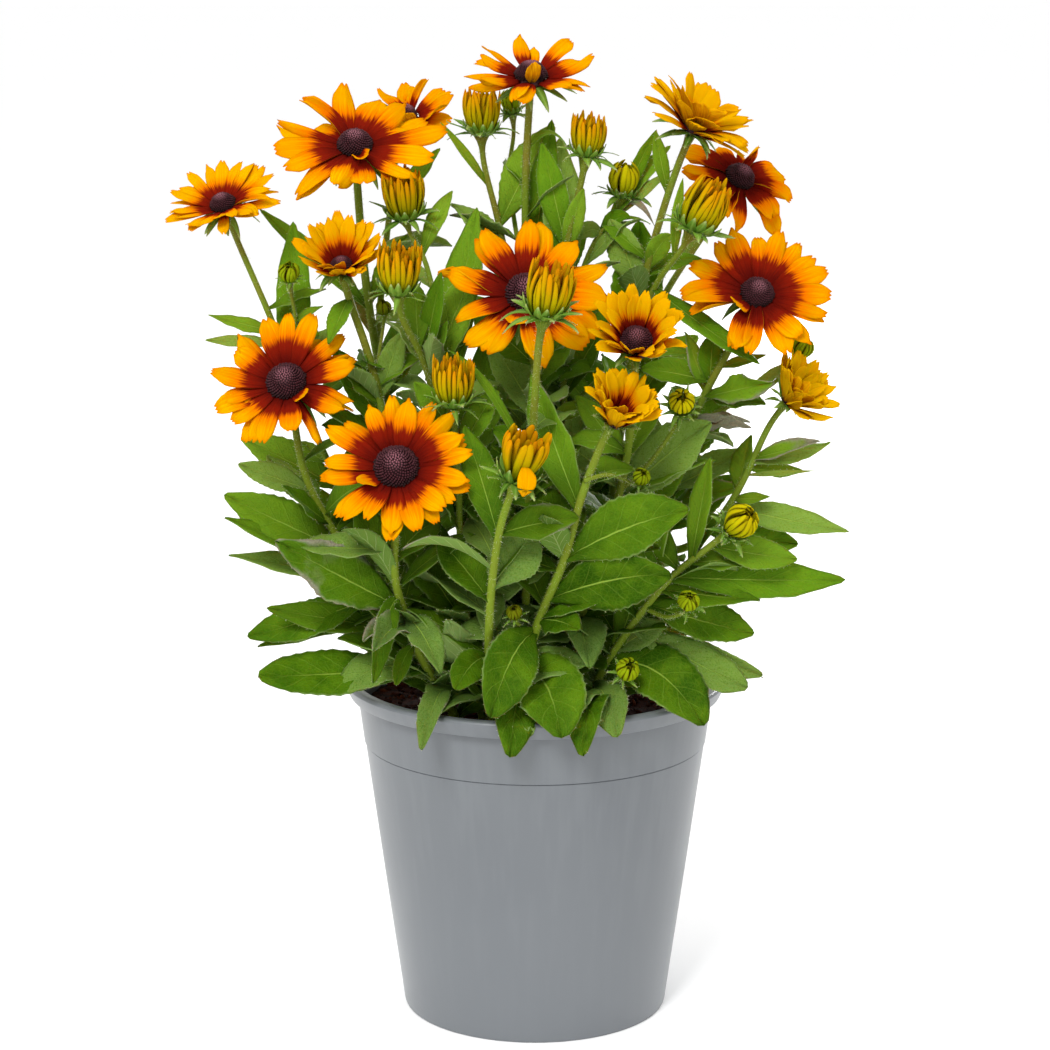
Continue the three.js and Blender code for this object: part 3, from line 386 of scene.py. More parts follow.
# How the rays of each flower lie: cup = degrees that they rise, droop = degrees that they bend down by their
# tips, wide = width of one as a share of its place in the ring, red = share of its length that is dark red,
# ragged = how unlike they are, rolled = share of them that are rolled up lengthwise, curled = the places in
# the ring, in degrees, of those that curl up beside the cone, stand = degrees that these rise more,
# more = how many there are for each one of the frame, size = their reach, turn and lift = where the ring
# faces, if not as its head does, inner = how many stand inside the ring, how many degrees they rise more, and
# their reach as a share of the others', yellow = how far their gold turns to yellow.
RAY_LOOKS = {
    "front_left": {
        "cup": 16, "droop": 10, "wide": 1.36, "red": 0.5, "ragged": 0.7, "rolled": 0, "curled": [205],
    },
    "left": {
        "cup": 12, "droop": 14, "wide": 1.34, "red": 0.52, "ragged": 1, "rolled": 0.1, "curled": [260, 300],
    },
    "upper_left": {
        "cup": 10, "droop": 17, "wide": 1.2, "red": 0.46, "ragged": 1.25, "rolled": 0.12, "curled": [290],
    },
    "upper_left_back": {
        "cup": 14, "droop": 8, "wide": 1.15, "red": 0.36, "ragged": 1.1, "rolled": 0.2, "size": 0.9,
        "turn": -25, "lift": 56, "curled": [240, 275], "stand": 34,
    },
    "far_left": {
        "cup": 24, "droop": 16, "wide": 1.35, "red": 0.42, "ragged": 0.8, "rolled": 0.08, "more": 1.35,
        "size": 0.95, "yellow": 0.3,
    },
    "cup_left": {
        "cup": 58, "droop": 10, "wide": 1.4, "red": 0.42, "ragged": 0.8, "rolled": 0.1, "more": 1.4,
        "size": 1.04, "yellow": 0.4,
    },
    "top": {
        "cup": 18, "droop": 12, "wide": 1, "red": 0.42, "ragged": 1.1, "rolled": 0.2, "size": 0.92,
        "curled": [268], "stand": 48,
    },
    "centre": {
        "cup": 8, "droop": 14, "wide": 1.3, "red": 0.48, "ragged": 1, "rolled": 0, "curled": [262],
    },
    "cup_centre": {
        "cup": 64, "droop": 14, "wide": 1.4, "red": 0.4, "ragged": 0.8, "rolled": 0.1, "more": 1.25,
        "yellow": 0.7,
    },
    "upper_right": {
        "cup": 34, "droop": 18, "wide": 1.55, "red": 0.3, "ragged": 0.9, "rolled": 0.06, "more": 1.2,
        "inner": (12, 20, 0.9), "turn": 72, "lift": 58, "yellow": 0.6,
    },
    "upper_right_back": {
        "cup": 8, "droop": 24, "wide": 1.25, "red": 0.55, "ragged": 1.3, "rolled": 0.15,
    },
    "right": {
        "cup": 17, "droop": 16, "wide": 1.3, "red": 0.5, "ragged": 1, "rolled": 0.08, "size": 0.95,
        "curled": [235],
    },
    "half_open_centre": {
        "cup": 72, "droop": 20, "wide": 1.5, "red": 0.42, "ragged": 0.9, "rolled": 0.1, "more": 1.35,
        "size": 1.14, "turn": 24, "lift": 50, "yellow": 0.9,
    },
    "half_open_right": {
        "cup": 54, "droop": 6, "wide": 1.4, "red": 0.16, "ragged": 0.9, "rolled": 0.12, "more": 1.6,
        "size": 1.2, "inner": (12, 14, 0.8), "lift": 38, "yellow": 1,
    },
}

UP = np.array((0, 0, 1.0))


def unit(vectors):
    """Vectors brought to length 1, along their last axis."""
    return vectors / np.maximum(np.linalg.norm(vectors, axis=-1, keepdims=True), 1e-12)


def level_ways(angle):
    """The level direction at an angle round a head, and the one square to it."""
    return np.array((math.cos(angle), math.sin(angle), 0)), np.array((-math.sin(angle), math.cos(angle), 0))


def held(value):
    """A value held between 0 and 1."""
    return min(max(value, 0.0), 1.0)


def smooth_step(low, high, value):
    share = held((value - low) / (high - low))
    return share * share * (3 - 2 * share)


def wall_radius(height):
    """Radius of the pot's outside at a height."""
    return POT_BASE_RADIUS + POT_FLARE * height


# Masters: each is modelled once at unit size, then copied to its places.


class Master:
    """The corners and faces of a finished model, which is then taken off the scene."""

    def __init__(self, model):
        mesh = model.data
        self.co = np.empty(len(mesh.vertices) * 3)
        mesh.vertices.foreach_get("co", self.co)
        self.co = self.co.reshape(-1, 3)
        self.loops = np.empty(len(mesh.loops), int)
        mesh.loops.foreach_get("vertex_index", self.loops)
        self.sizes = np.empty(len(mesh.polygons), int)
        mesh.polygons.foreach_get("loop_total", self.sizes)
        self.place = np.zeros_like(self.co)
        place = mesh.attributes.get("place")
        if place:
            flat = self.place.ravel()
            place.data.foreach_get("vector", flat)
            self.place = flat.reshape(-1, 3)
        bpy.data.objects.remove(model)
        bpy.data.meshes.remove(mesh)


def mode(name):
    bpy.ops.object.mode_set(mode=name)


def corners_where(test):
    """Selects the corners of the mesh in edit mode that pass a test of their place."""
    bpy.ops.mesh.select_mode(type="VERT")
    mesh = bmesh.from_edit_mesh(bpy.context.edit_object.data)
    for corner in mesh.verts:
        corner.select = bool(test(corner.co))
    mesh.select_flush_mode()
    bmesh.update_edit_mesh(bpy.context.edit_object.data)


def faces_where(test):
    """Selects the faces in edit mode whose corners all pass a test of their place."""
    corners_where(test)
    bpy.ops.mesh.select_mode(type="FACE")


def applied(model, modifier):
    bpy.context.view_layer.objects.active = model
    bpy.ops.object.modifier_apply(modifier=modifier.name)


BLADE_EDGE = 0.98  # share of the half width past which a corner of a blade lies on its edge
TOOTHED_FROM, TOOTHED_TO = 0.12, 0.93
TOOTH_INSIDE = 0.35  # share of a tooth's height that lies inside the outline
TIP_FROM = 0.78  # share of the length past which a notched tip is drawn out
NARROWEST = 0.01


def blade(name, columns, rows, outline, relief, teeth=0, tooth=0.0, thick=0.04, tip=None):
    """A blade one long in Y with its half width up to 1 in X: a grid drawn in row by row to its outline,
    with its relief raised, its edge toothed, its tip notched and its thickness given."""
    bpy.ops.mesh.primitive_grid_add(x_subdivisions=columns, y_subdivisions=rows, size=2)
    model = bpy.context.object
    model.name = name
    mode("EDIT")
    bpy.ops.transform.resize(value=(1, 0.5, 1))
    bpy.ops.transform.translate(value=(0, 0.5, 0))
    near = 0.2 / rows
    for row in range(rows + 1):
        along = row / rows
        corners_where(lambda co: abs(co.y - along) < near)
        half = max(outline(along), NARROWEST)
        bpy.ops.transform.resize(value=(half, 1, 1), center_override=(0, along, 0))
    mode("OBJECT")
    mesh = model.data
    place = mesh.attributes.new("place", "FLOAT_VECTOR", "POINT")
    for corner, spot in zip(mesh.vertices, place.data):
        x, y, _ = corner.co
        side = x / max(outline(y), NARROWEST)
        spot.vector = (side, y, 0)
        corner.co.z = relief(side, y)
        if teeth and abs(side) > BLADE_EDGE and TOOTHED_FROM < y < TOOTHED_TO:
            corner.co.x *= 1 + tooth * ((y * teeth) % 1 - TOOTH_INSIDE)
        if tip:
            corner.co.y += tip(side) * smooth_step(TIP_FROM, 1, y)
    wall = model.modifiers.new("thickness", "SOLIDIFY")
    wall.thickness = thick
    wall.offset = 0
    applied(model, wall)
    sheet = len(mesh.vertices) // 2
    place = mesh.attributes["place"]
    for spot in list(place.data)[sheet:]:
        spot.vector.z = 1
    mode("EDIT")
    bpy.ops.mesh.select_all(action="SELECT")
    bpy.ops.mesh.normals_make_consistent(inside=False)
    mode("OBJECT")
    under_faces_down(mesh)
    return Master(model)


def under_faces_down(mesh):
    """Marks as the under side the sheet of a blade that lies lower."""
    place = mesh.attributes["place"]
    heights = [[], []]
    for corner, spot in zip(mesh.vertices, place.data):
        heights[int(spot.vector.z)].append(corner.co.z)
    if sum(heights[1]) > sum(heights[0]):
        for spot in place.data:
            spot.vector.z = 1 - spot.vector.z


def leaf_outline(full_at, foot, tip_power):
    """Half width of a leaf at a share of its length: it widens from its foot and tapers to its tip."""

    def outline(along):
        if along < full_at:
            return foot + (1 - foot) * math.sin(along / full_at * math.pi / 2) ** 1.5
        return max(1 - ((along - full_at) / (1 - full_at)) ** tip_power, 0.0)

    return outline


SIDE_VEINS = 7  # pairs of side veins of a large leaf
VEIN_SLANT = 1.5  # how many steps between veins one climbs on its way to the edge
VEIN_SHIFT = 0.25  # how far the veins of one side stand from those of the other, in such steps
MIDRIB_WIDE = 0.08


def leaf_relief(veins, depth):
    """Height of a leaf's face: a sunk midrib, and quilting between side veins that slant to the tip."""

    def relief(side, along):
        out = abs(side)
        midrib = -depth / 2 * math.exp(-((out / MIDRIB_WIDE) ** 2))
        slant = (along * veins - out * VEIN_SLANT + (VEIN_SHIFT if side > 0 else 0)) % 1
        return midrib + depth * math.sin(slant * math.pi) * out * (1 - out) * 3

    return relief


GROOVES = (-0.38, 0.38)
GROOVE_WIDE = 0.13
GROOVE_DEPTH = 0.1
PETAL_FOOT = 0.34


def petal_relief(side, along):
    """Two grooves run the length of a ray, and its edges turn down a little."""
    grooves = sum(math.exp(-(((side - at) / GROOVE_WIDE) ** 2)) for at in GROOVES)
    return -GROOVE_DEPTH * (grooves * smooth_step(0, 0.3, along) + side * side)


def petal(name, full_at, end, tips):
    """A ray floret: narrow at its foot, full at a share of its length, end wide at its notched tip.
    Tips are how far its end reaches at its middle and at each quarter of its half width."""

    def outline(along):
        if along < full_at:
            return PETAL_FOOT + (1 - PETAL_FOOT) * math.sin(along / full_at * math.pi / 2)
        return 1 - (1 - end) * ((along - full_at) / (1 - full_at)) ** 2.4

    def tip(side):
        return np.interp(abs(side), (0, 0.25, 0.5, 0.75, 1), tips)

    return blade(name, 8, 12, outline, petal_relief, thick=0.05, tip=tip)


def large_leaf(name, full_at, foot, tip_power, tooth):
    relief = leaf_relief(SIDE_VEINS, 0.1)
    return blade(name, 8, 28, leaf_outline(full_at, foot, tip_power), relief, 14, tooth, 0.05)


def sepal_relief(side, along):
    return -0.15 * side * side


OVATE_LEAF = large_leaf("ovate_leaf", 0.46, 0.16, 2.3, 0.12)
BROAD_LEAF = large_leaf("broad_leaf", 0.5, 0.13, 2.1, 0.12)
BLUNT_LEAF = large_leaf("blunt_leaf", 0.58, 0.16, 3.0, 0.1)
NARROW_LEAF = blade("narrow_leaf", 6, 20, leaf_outline(0.46, 0.3, 2.0), leaf_relief(6, 0.08), 10, 0.08, 0.06)
PLAIN_LEAF = blade("plain_leaf", 6, 12, leaf_outline(0.46, 0.16, 2.3), leaf_relief(5, 0.07), 6, 0.1, 0.05)
SMALL_LEAF = blade("small_leaf", 4, 10, leaf_outline(0.42, 0.3, 1.8), leaf_relief(5, 0.06), thick=0.07)
TOOTHED_PETAL = petal("toothed_petal", 0.62, 0.62, (0.01, -0.035, 0, -0.04, -0.1))
NOTCHED_PETAL = petal("notched_petal", 0.6, 0.56, (-0.06, -0.005, 0, -0.04, -0.11))
POINTED_PETAL = petal("pointed_petal", 0.52, 0.28, (0, -0.01, -0.03, -0.06, -0.1))
SEPAL = blade("sepal", 2, 8, leaf_outline(0.35, 0.6, 1.6), sepal_relief, thick=0.16)


def upright(name, sides, radius, rise=1.0):
    """A cylinder that stands on the origin, with its place in its mesh."""
    bpy.ops.mesh.primitive_cylinder_add(vertices=sides, radius=radius, depth=rise, location=(0, 0, rise / 2))
    bpy.ops.object.transform_apply()
    model = bpy.context.object
    model.name = name
    return model


def section(name, sides, rows):
    """A round stretch of stalk, one long in Z and one in radius, that closes at both ends."""
    model = upright(name, sides, 1)
    mode("EDIT")
    for row in range(1, rows):
        bpy.ops.mesh.select_all(action="SELECT")
        bpy.ops.mesh.bisect(plane_co=(0, 0, row / rows), plane_no=(0, 0, 1))
    mode("OBJECT")
    return Master(model)


def drawn_up(rings, wide):
    """Draws the selected faces up ring by ring. A ring is its rise and its new half width, from wide on."""
    for rise, next_wide in rings:
        bpy.ops.mesh.extrude_region_move(TRANSFORM_OT_translate={"value": (0, 0, rise)})
        bpy.ops.transform.resize(value=(next_wide / wide, next_wide / wide, 1))
        wide = next_wide


def hair_model():
    """A stiff hair: a three-sided spike, one long."""
    bpy.ops.mesh.primitive_cone_add(
        vertices=3, radius1=1, depth=1, location=(0, 0, 0.5), end_fill_type="NGON"
    )
    bpy.ops.object.transform_apply()
    return Master(bpy.context.object)


def floret_model(name, sides, foot, stub, rings):
    """A floret: a stub on the half width of its foot, drawn up ring by ring."""
    model = upright(name, sides, foot, stub)
    mode("EDIT")
    faces_where(lambda co: co.z > stub * 0.8)
    drawn_up(rings, foot)
    bpy.ops.mesh.select_mode(type="VERT")
    mode("OBJECT")
    return Master(model)


# Rise and half width of each next ring: of a blunt peg, of a rolled ray with a soft point, and of a straight
# one with a fine point
PEG_RINGS = ((0.35, 0.4),)
SOFT_RINGS = (
    (0.15, 0.68), (0.15, 0.84), (0.15, 0.96), (0.15, 1.0),
    (0.12, 0.92), (0.09, 0.72), (0.06, 0.46), (0.03, 0.2),
)
FINE_RINGS = ((0.2, 0.88), (0.22, 1.0), (0.2, 1.02), (0.16, 0.86), (0.1, 0.52), (0.05, 0.16))


GRANULE_SHAPE = (1, 0.8, 0.65)
GRANULE_ROUGHNESS = 0.3


def granule_model():
    """A crumb of soil: a rough ball that is a little flat."""
    bpy.ops.mesh.primitive_ico_sphere_add(subdivisions=1, radius=1)
    mode("EDIT")
    bpy.ops.transform.resize(value=GRANULE_SHAPE)
    bpy.ops.transform.vertex_random(offset=GRANULE_ROUGHNESS, seed=SEED)
    mode("OBJECT")
    return Master(bpy.context.object)


STALK = section("stalk", 10, 40)
SHORT_STALK = section("short_stalk", 8, 12)
HAIR = hair_model()
DISC_FLORET = floret_model("disc_floret", 5, 0.8, 1, PEG_RINGS)
BUD_FLORET = floret_model("bud_floret", 8, 0.5, 0.1, SOFT_RINGS)
TUBE_FLORET = floret_model("tube_floret", 6, 0.72, 0.1, FINE_RINGS)
GRANULE = granule_model()


class Growth:
    """Copies of masters that lie in their places, joined as one piece. A copy's corners hold their place on
    it, which is how far aside, along and under they lie, and its look, which its material reads."""

    def __init__(self):
        self.co = []
        self.place = []
        self.look = []
        self.loops = []
        self.sizes = []
        self.paint = []
        self.count = 0

    def add(self, master, co, place, look, paint=0):
        """One or more copies: co is (copies, corners, 3), look is three numbers for each copy."""
        co = np.asarray(co).reshape(-1, len(master.co), 3)
        copies = len(co)
        self.co.append(co.reshape(-1, 3))
        self.place.append(np.broadcast_to(place, co.shape).reshape(-1, 3))
        look = np.asarray(look, float).reshape(-1, 1, 3)
        self.look.append(np.broadcast_to(look, co.shape).reshape(-1, 3))
        first = self.count + np.arange(copies)[:, None] * len(master.co)
        self.loops.append((master.loops[None, :] + first).ravel())
        self.sizes.append(np.tile(master.sizes, copies))
        self.paint.append(np.full(copies * len(master.sizes), paint))
        self.count += copies * len(master.co)

    def piece(self, name, materials, slot, *nodes):
        """The finished piece, in metres, which stands for its CAD nodes."""
        mesh = bpy.data.meshes.new(name)
        co = np.concatenate(self.co) * MM
        loops = np.concatenate(self.loops)
        sizes = np.concatenate(self.sizes)
        mesh.vertices.add(len(co))
        mesh.vertices.foreach_set("co", co.ravel())
        mesh.loops.add(len(loops))
        mesh.loops.foreach_set("vertex_index", loops)
        mesh.polygons.add(len(sizes))
        mesh.polygons.foreach_set("loop_start", np.concatenate([[0], np.cumsum(sizes)[:-1]]))
        mesh.polygons.foreach_set("material_index", np.concatenate(self.paint))
        mesh.polygons.foreach_set("use_smooth", np.ones(len(sizes), bool))
        for material in materials:
            mesh.materials.append(material)
        mesh.update(calc_edges=True)
        for label, rows in (("place", self.place), ("look", self.look)):
            attribute = mesh.attributes.new(label, "FLOAT_VECTOR", "POINT")
            attribute.data.foreach_set("vector", np.concatenate(rows).ravel())
        piece = bpy.data.objects.new(name, mesh)
        bpy.context.scene.collection.objects.link(piece)
        return settled(piece, slot, *nodes)


def settled(piece, slot, *nodes):
    """A finished piece rides with the pot and stands for its CAD nodes. Its slot is not used."""
    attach(piece, "root")
    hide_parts(*nodes)
    return piece


# Lines: stalks, midribs and rays are laid along them.

CURVE_STEPS = 12  # steps of a route's curve from one of its points to the next


def route_curve(points, samples):
    """A smooth curve through the points of a route, evenly stepped: the one that the frame's stalks take."""
    p = [np.array(point, float) for point in points]
    p = [2 * p[0] - p[1], *p, 2 * p[-1] - p[-2]]
    spots = []
    for a, b, c, d in zip(p, p[1:], p[2:], p[3:]):
        bend, twist = 2 * a - 5 * b + 4 * c - d, 3 * b - a - 3 * c + d
        for t in np.linspace(0, 1, CURVE_STEPS, endpoint=False):
            spots.append(0.5 * (2 * b + (c - a) * t + bend * t**2 + twist * t**3))
    spots.append(p[-2])
    spots = np.array(spots)
    run = np.concatenate([[0], np.cumsum(np.linalg.norm(np.diff(spots, axis=0), axis=1))])
    even = np.linspace(0, run[-1], samples)
    return np.stack([np.interp(even, run, spots[:, axis]) for axis in range(3)], axis=1)


def eased(line, rounds):
    """A line with its bends eased, its ends left where they are."""
    line = line.copy()
    for _ in range(rounds):
        line[1:-1] = line[1:-1] / 2 + (line[:-2] + line[2:]) / 4
    return line


def bent_line(start, length, bends):
    """How far out and up a line runs from a start, in even steps that each rise by their bend, in radians."""
    step = length / (len(bends) - 1)
    out = np.concatenate([[0], np.cumsum(np.cos(bends[:-1]))]) * step
    up = np.concatenate([[0], np.cumsum(np.sin(bends[:-1]))]) * step
    return start + out, up


def read_line(line, along):
    """Points of a line at shares of its length."""
    at = np.clip(along, 0, 1) * (len(line) - 1)
    step = np.minimum(at.astype(int), len(line) - 2)
    part = (at - step)[:, None]
    return line[step] * (1 - part) + line[step + 1] * part


def read_values(values, along):
    """Values that go with a line, at shares of its length, as a column."""
    return read_line(np.asarray(values)[:, None], along)


def point_of(line, along):
    return read_line(line, np.array([along]))[0]


def tangents(line):
    return unit(np.gradient(line, axis=0))


def carried_frames(line):
    """Two directions square to a line at each of its points, carried along it without twisting."""
    ways = tangents(line)
    hint = np.array((1.0, 0, 0)) if abs(ways[0][0]) < 0.8 else np.array((0, 1.0, 0))
    across = [unit(hint - ways[0] * hint.dot(ways[0]))]
    for way in ways[1:]:
        last = across[-1]
        across.append(unit(last - way * last.dot(way)))
    across = np.array(across)
    return across, np.cross(ways, across)


def laid_stalk(master, line, radii):
    """A section of stalk laid along a line, with its radius at each of the line's points."""
    across, over = carried_frames(line)
    x, y, along = master.co[:, :1], master.co[:, 1:2], master.co[:, 2]
    radius = read_values(radii, along)
    return read_line(line, along) + (read_line(across, along) * x + read_line(over, along) * y) * radius


def laid_blade(
    master, line, face, half, fold=0.0, ruffle=0.0, waves=3.0, phase=0.0, twist=0.0, roll=0.0, twirl=0.0
):
    """A leaf, ray or sepal laid along its midrib, face towards a direction. Its sides are folded up by fold
    radians, and by twirl more at its tip. Its edges are ruffled, and it is rolled aside and twisted."""
    along = master.co[:, 1]
    side_share, lift_share = master.co[:, 0], master.co[:, 2]
    way = read_line(tangents(line), along)
    side = unit(np.cross(np.broadcast_to(face, way.shape), way))
    normal = np.cross(way, side)
    turn = (roll + twist * np.clip(along, 0, 1) ** 1.5)[:, None]
    side, normal = side * np.cos(turn) + normal * np.sin(turn), normal * np.cos(turn) - side * np.sin(turn)
    out = np.abs(side_share)
    bend = (fold + twirl * along**2) * (0.6 + 0.4 * out)
    wave = np.sin((along * waves + phase + 0.5 * (side_share > 0)) * 2 * np.pi)
    lift = lift_share + ruffle * wave * out**2 * np.minimum(along * 4, 1)
    sideways = side_share * np.cos(bend) - np.sign(side_share) * lift * np.sin(bend)
    rise = out * np.sin(bend) + lift * np.cos(bend)
    return read_line(line, along) + side * (sideways * half)[:, None] + normal * (rise * half)[:, None]


def placed_copies(master, feet, across, over, ways, thick, long, sunk=0.0):
    """Copies of an upright master on their feet, along their ways, so thick, so long and sunk a little."""
    x, y, z = (master.co[None, :, axis, None] for axis in range(3))
    level = across[:, None] * x * thick + over[:, None] * y * thick
    return feet[:, None] + level + ways[:, None] * (z - sunk) * long


HAIR_RADIUS = 0.06
HAIR_LEAN = 0.35
STALK_HAIR, LEAF_HAIR, SEPAL_HAIR = (0.9, 2.2), (0.6, 1.3), (0.7, 1.5)  # how long they are

# Materials that a stem's piece holds, by their places in its list
STALK_PAINT, LEAF_PAINT, SEPAL_PAINT, HAIR_PAINT, BUD_PAINT = range(5)


def hairs_on(growth, rng, feet, ways, low, high):
    """Stiff pale hairs that stand on a surface at feet, along ways, from low to high long."""
    count = len(feet)
    ways = unit(ways + rng.normal(0, HAIR_LEAN, (count, 3)))
    across = unit(np.cross(ways, rng.normal(0, 1, (count, 3))))
    over = np.cross(ways, across)
    long = rng.uniform(low, high, (count, 1, 1))
    hairs = placed_copies(HAIR, feet, across, over, ways, HAIR_RADIUS, long)
    growth.add(HAIR, hairs, HAIR.place, (0, 0, 0), HAIR_PAINT)


# Seats and routes of the shoots, by the same rules as in the frame


def facing_of(head):
    turn, lift = math.radians(head["turn"]), math.radians(head["lift"])
    level = math.cos(lift)
    return np.array((math.sin(turn) * level, -math.cos(turn) * level, math.sin(lift)))


def head_of(shoot):
    for kind, heads in (("flower", FLOWERS), ("bud", BUDS), ("small", SMALL_BUDS)):
        if kind in shoot:
            return heads[shoot[kind]]


def foot_of_rays(head):
    """How far under the middle of a cone its rays lie."""
    return head["cone"] * CONE_TALL / 2 + GAP


def seat_drop(shoot):
    """How far under the middle of its head a shoot's sepals lie."""
    head = head_of(shoot)
    if "flower" in shoot:
        return foot_of_rays(head) + RAY_THICKNESS + GAP
    return head["tall"] / 2 + (GAP if "bud" in shoot else -SMALL_BUD_SINK)


def route_of(shoot):
    """The whole route of a shoot, which ends square to its sepals."""
    head = head_of(shoot)
    facing = facing_of(head)
    straight = SMALL_NECK_STRAIGHT if "small" in shoot else NECK_STRAIGHT
    neck = np.array(head["at"]) - facing * (seat_drop(shoot) + NECK_SINK)
    return [*shoot["route"], neck - facing * straight, neck]


def at_head(head, co, drop):
    """Points that are made round the origin, facing up, turned as in the frame and moved to their head."""
    facing = facing_of(head)
    turn = Vector(UP).rotation_difference(Vector(facing)).to_matrix()
    return np.asarray(co) @ np.array(turn.transposed()) + np.array(head["at"]) - facing * drop


# Leaves

LEAF_FULLNESS = 1.24  # width of a leaf's face for each millimetre of its width in the frame
RIM_FULLNESS = 1.5  # the same for a leaf that hangs over the rim
OUTER_FROM = 100  # leaves whose tips lie further aside than this are nearly straight
OUTER_ARCH = -0.1  # their arch as a share of that in the frame
BLUNT_UNDER = 192  # leaves whose tips hang lower than this are blunt
SMALL_WIDTH, SMALL_LENGTH = 6, 22  # narrower or shorter leaves are copies of the small one
NARROW_SHARE = 0.27
BROAD_LENGTH = 55
BEHIND = 15  # leaves whose tips lie further back than this, and lower than the next, face the back
HIDDEN_UNDER = 310
RIM_CLEAR = 1.5  # how far the leaves keep off the rim
RIM_FADE = 9  # height under the rim in which they come back to the wall
LEAF_TOP = POT_HEIGHT + 2 * RIM_CLEAR  # lowest height at which a leaf crosses the rim
RIM_MIDDLE = (RIM_INNER_RADIUS + RIM_RADIUS) / 2
OLD_TWIRL = 1.2  # radians that the sides of a withered leaf close at its tip
EDGE_HAIRS = 1.2  # hairs for each millimetre of a leaf


def leaf_line(base, tip, arch, rng):
    """The midrib of a leaf: an arch from its stalk to its tip, which bends aside a little."""
    middle = (base + tip) / 2 + UP * arch
    t = np.linspace(0, 1, 24)[:, None]
    line = base * (1 - t) ** 2 + 2 * middle * t * (1 - t) + tip * t**2
    aside = unit(np.cross(tip - base, UP)) * rng.normal(0, 0.02) * np.linalg.norm(tip - base)
    return line + aside * np.sin(t * math.pi)


def leaf_master(length, width, tip_height):
    if width < SMALL_WIDTH or length < SMALL_LENGTH:
        return SMALL_LEAF
    if tip_height < BLUNT_UNDER:
        return BLUNT_LEAF
    if width < length * NARROW_SHARE:
        return NARROW_LEAF
    return BROAD_LEAF if length > BROAD_LENGTH else OVATE_LEAF


def over_rim(line):
    """The midrib of a leaf, raised where it would pass through the rim so that it hangs over it."""
    beyond = np.nonzero(np.hypot(line[:, 0], line[:, 1]) > RIM_MIDDLE)[0]
    if not len(beyond) or beyond[0] == 0:
        return line
    cross = beyond[0]
    lack = LEAF_TOP - line[cross, 2]
    if lack <= 0:
        return line
    step = np.arange(len(line))
    last = len(line) - 1
    share = np.where(step < cross, step / cross, (last - step) / max(last - cross, 1))
    return line + UP * lack * np.clip(share, 0, 1)[:, None]


def off_the_pot(co):
    """Corners of a leaf moved clear of the rim, the wall and the soil."""
    reach = np.hypot(co[:, 0], co[:, 1])
    low = co[:, 2] < POT_HEIGHT + RIM_CLEAR
    outside = low & (reach > RIM_MIDDLE)
    inside = low & (reach <= RIM_MIDDLE)
    rim_foot = POT_HEIGHT - RIM_HEIGHT - RIM_CLEAR
    shelf = np.clip((co[:, 2] - rim_foot) / RIM_FADE + 1, 0, 1)
    wall = wall_radius(co[:, 2]) * (1 - shelf) + RIM_RADIUS * shelf + RIM_CLEAR
    wanted = np.where(outside, np.maximum(reach, wall), reach)
    wanted = np.where(inside, np.minimum(reach, RIM_INNER_RADIUS - RIM_CLEAR), wanted)
    moved = co.copy()
    moved[:, :2] *= (wanted / np.maximum(reach, 1))[:, None]
    moved[:, 2] = np.where(inside, np.maximum(co[:, 2], SOIL_TOP + RIM_CLEAR), co[:, 2])
    return moved


# Where the painted light and shade on the leaves change: from which place on, and over how many millimetres
LIGHT_UP = (170, 250)
LIGHT_RIGHT = (90, 50)
LIGHT_LEFT = (85, 40)
LIGHT_LOW = (-205, 30)
DARK_FRONT = (60, 50)


def share_past(value, limit):
    """How far a value has gone past a limit, from 0 to 1."""
    start, over = limit
    return held((value - start) / over)


def painted_light_at(spot):
    """The painted light on the green at a spot, from 0 for painted shade to 1 for painted light: lighter high
    up, far out and at the rim, and darker in front."""
    x, y, z = spot
    low = share_past(-z, LIGHT_LOW)
    front = share_past(-y, DARK_FRONT) * (1 - low)
    start, over = LIGHT_UP
    aside = 0.6 * share_past(x, LIGHT_RIGHT) + 0.25 * share_past(-x, LIGHT_LEFT)
    return held((z - start) / over + aside + 0.15 * low - 0.34 * front)


def grow_leaf(growth, rng, base, tip, width, arch, facing, age=0.0, master=None):
    """A leaf with the hairs of its edge. Age runs from 0, fresh, to 1, withered."""
    base, tip = np.array(base, float), np.array(tip, float)
    if abs(tip[0]) > OUTER_FROM:
        arch *= OUTER_ARCH
    if tip[1] > BEHIND and tip[2] < HIDDEN_UNDER:
        facing = -facing
    line = over_rim(leaf_line(base, tip, arch, rng))
    length = np.linalg.norm(tip - base)
    face = unit(np.array((rng.normal(0, 0.15), -facing, 1 - abs(facing))))
    master = master or leaf_master(length, width, tip[2])
    over = tip[2] < LEAF_TOP and math.hypot(tip[0], tip[1]) > RIM_INNER_RADIUS
    co = laid_blade(
        master, line, face, width / 2 * (RIM_FULLNESS if over else LEAF_FULLNESS),
        fold=rng.uniform(0.05, 0.4), ruffle=rng.uniform(0.03, 0.12) * (1 + age), waves=rng.uniform(2, 3.5),
        phase=rng.random(), twist=rng.normal(0, 0.4) * (1 + age), roll=rng.normal(0, 0.15),
        twirl=age * OLD_TWIRL,
    )
    co = off_the_pot(co)
    growth.add(master, co, master.place, (rng.random(), age, painted_light_at(tip)), LEAF_PAINT)
    edge = np.nonzero(np.abs(master.place[:, 0]) > BLADE_EDGE)[0]
    chosen = rng.choice(edge, min(int(length * EDGE_HAIRS), len(edge) * 2))
    middle = read_line(line, master.co[chosen, 1])
    hairs_on(growth, rng, co[chosen], unit(co[chosen] - middle), *LEAF_HAIR)


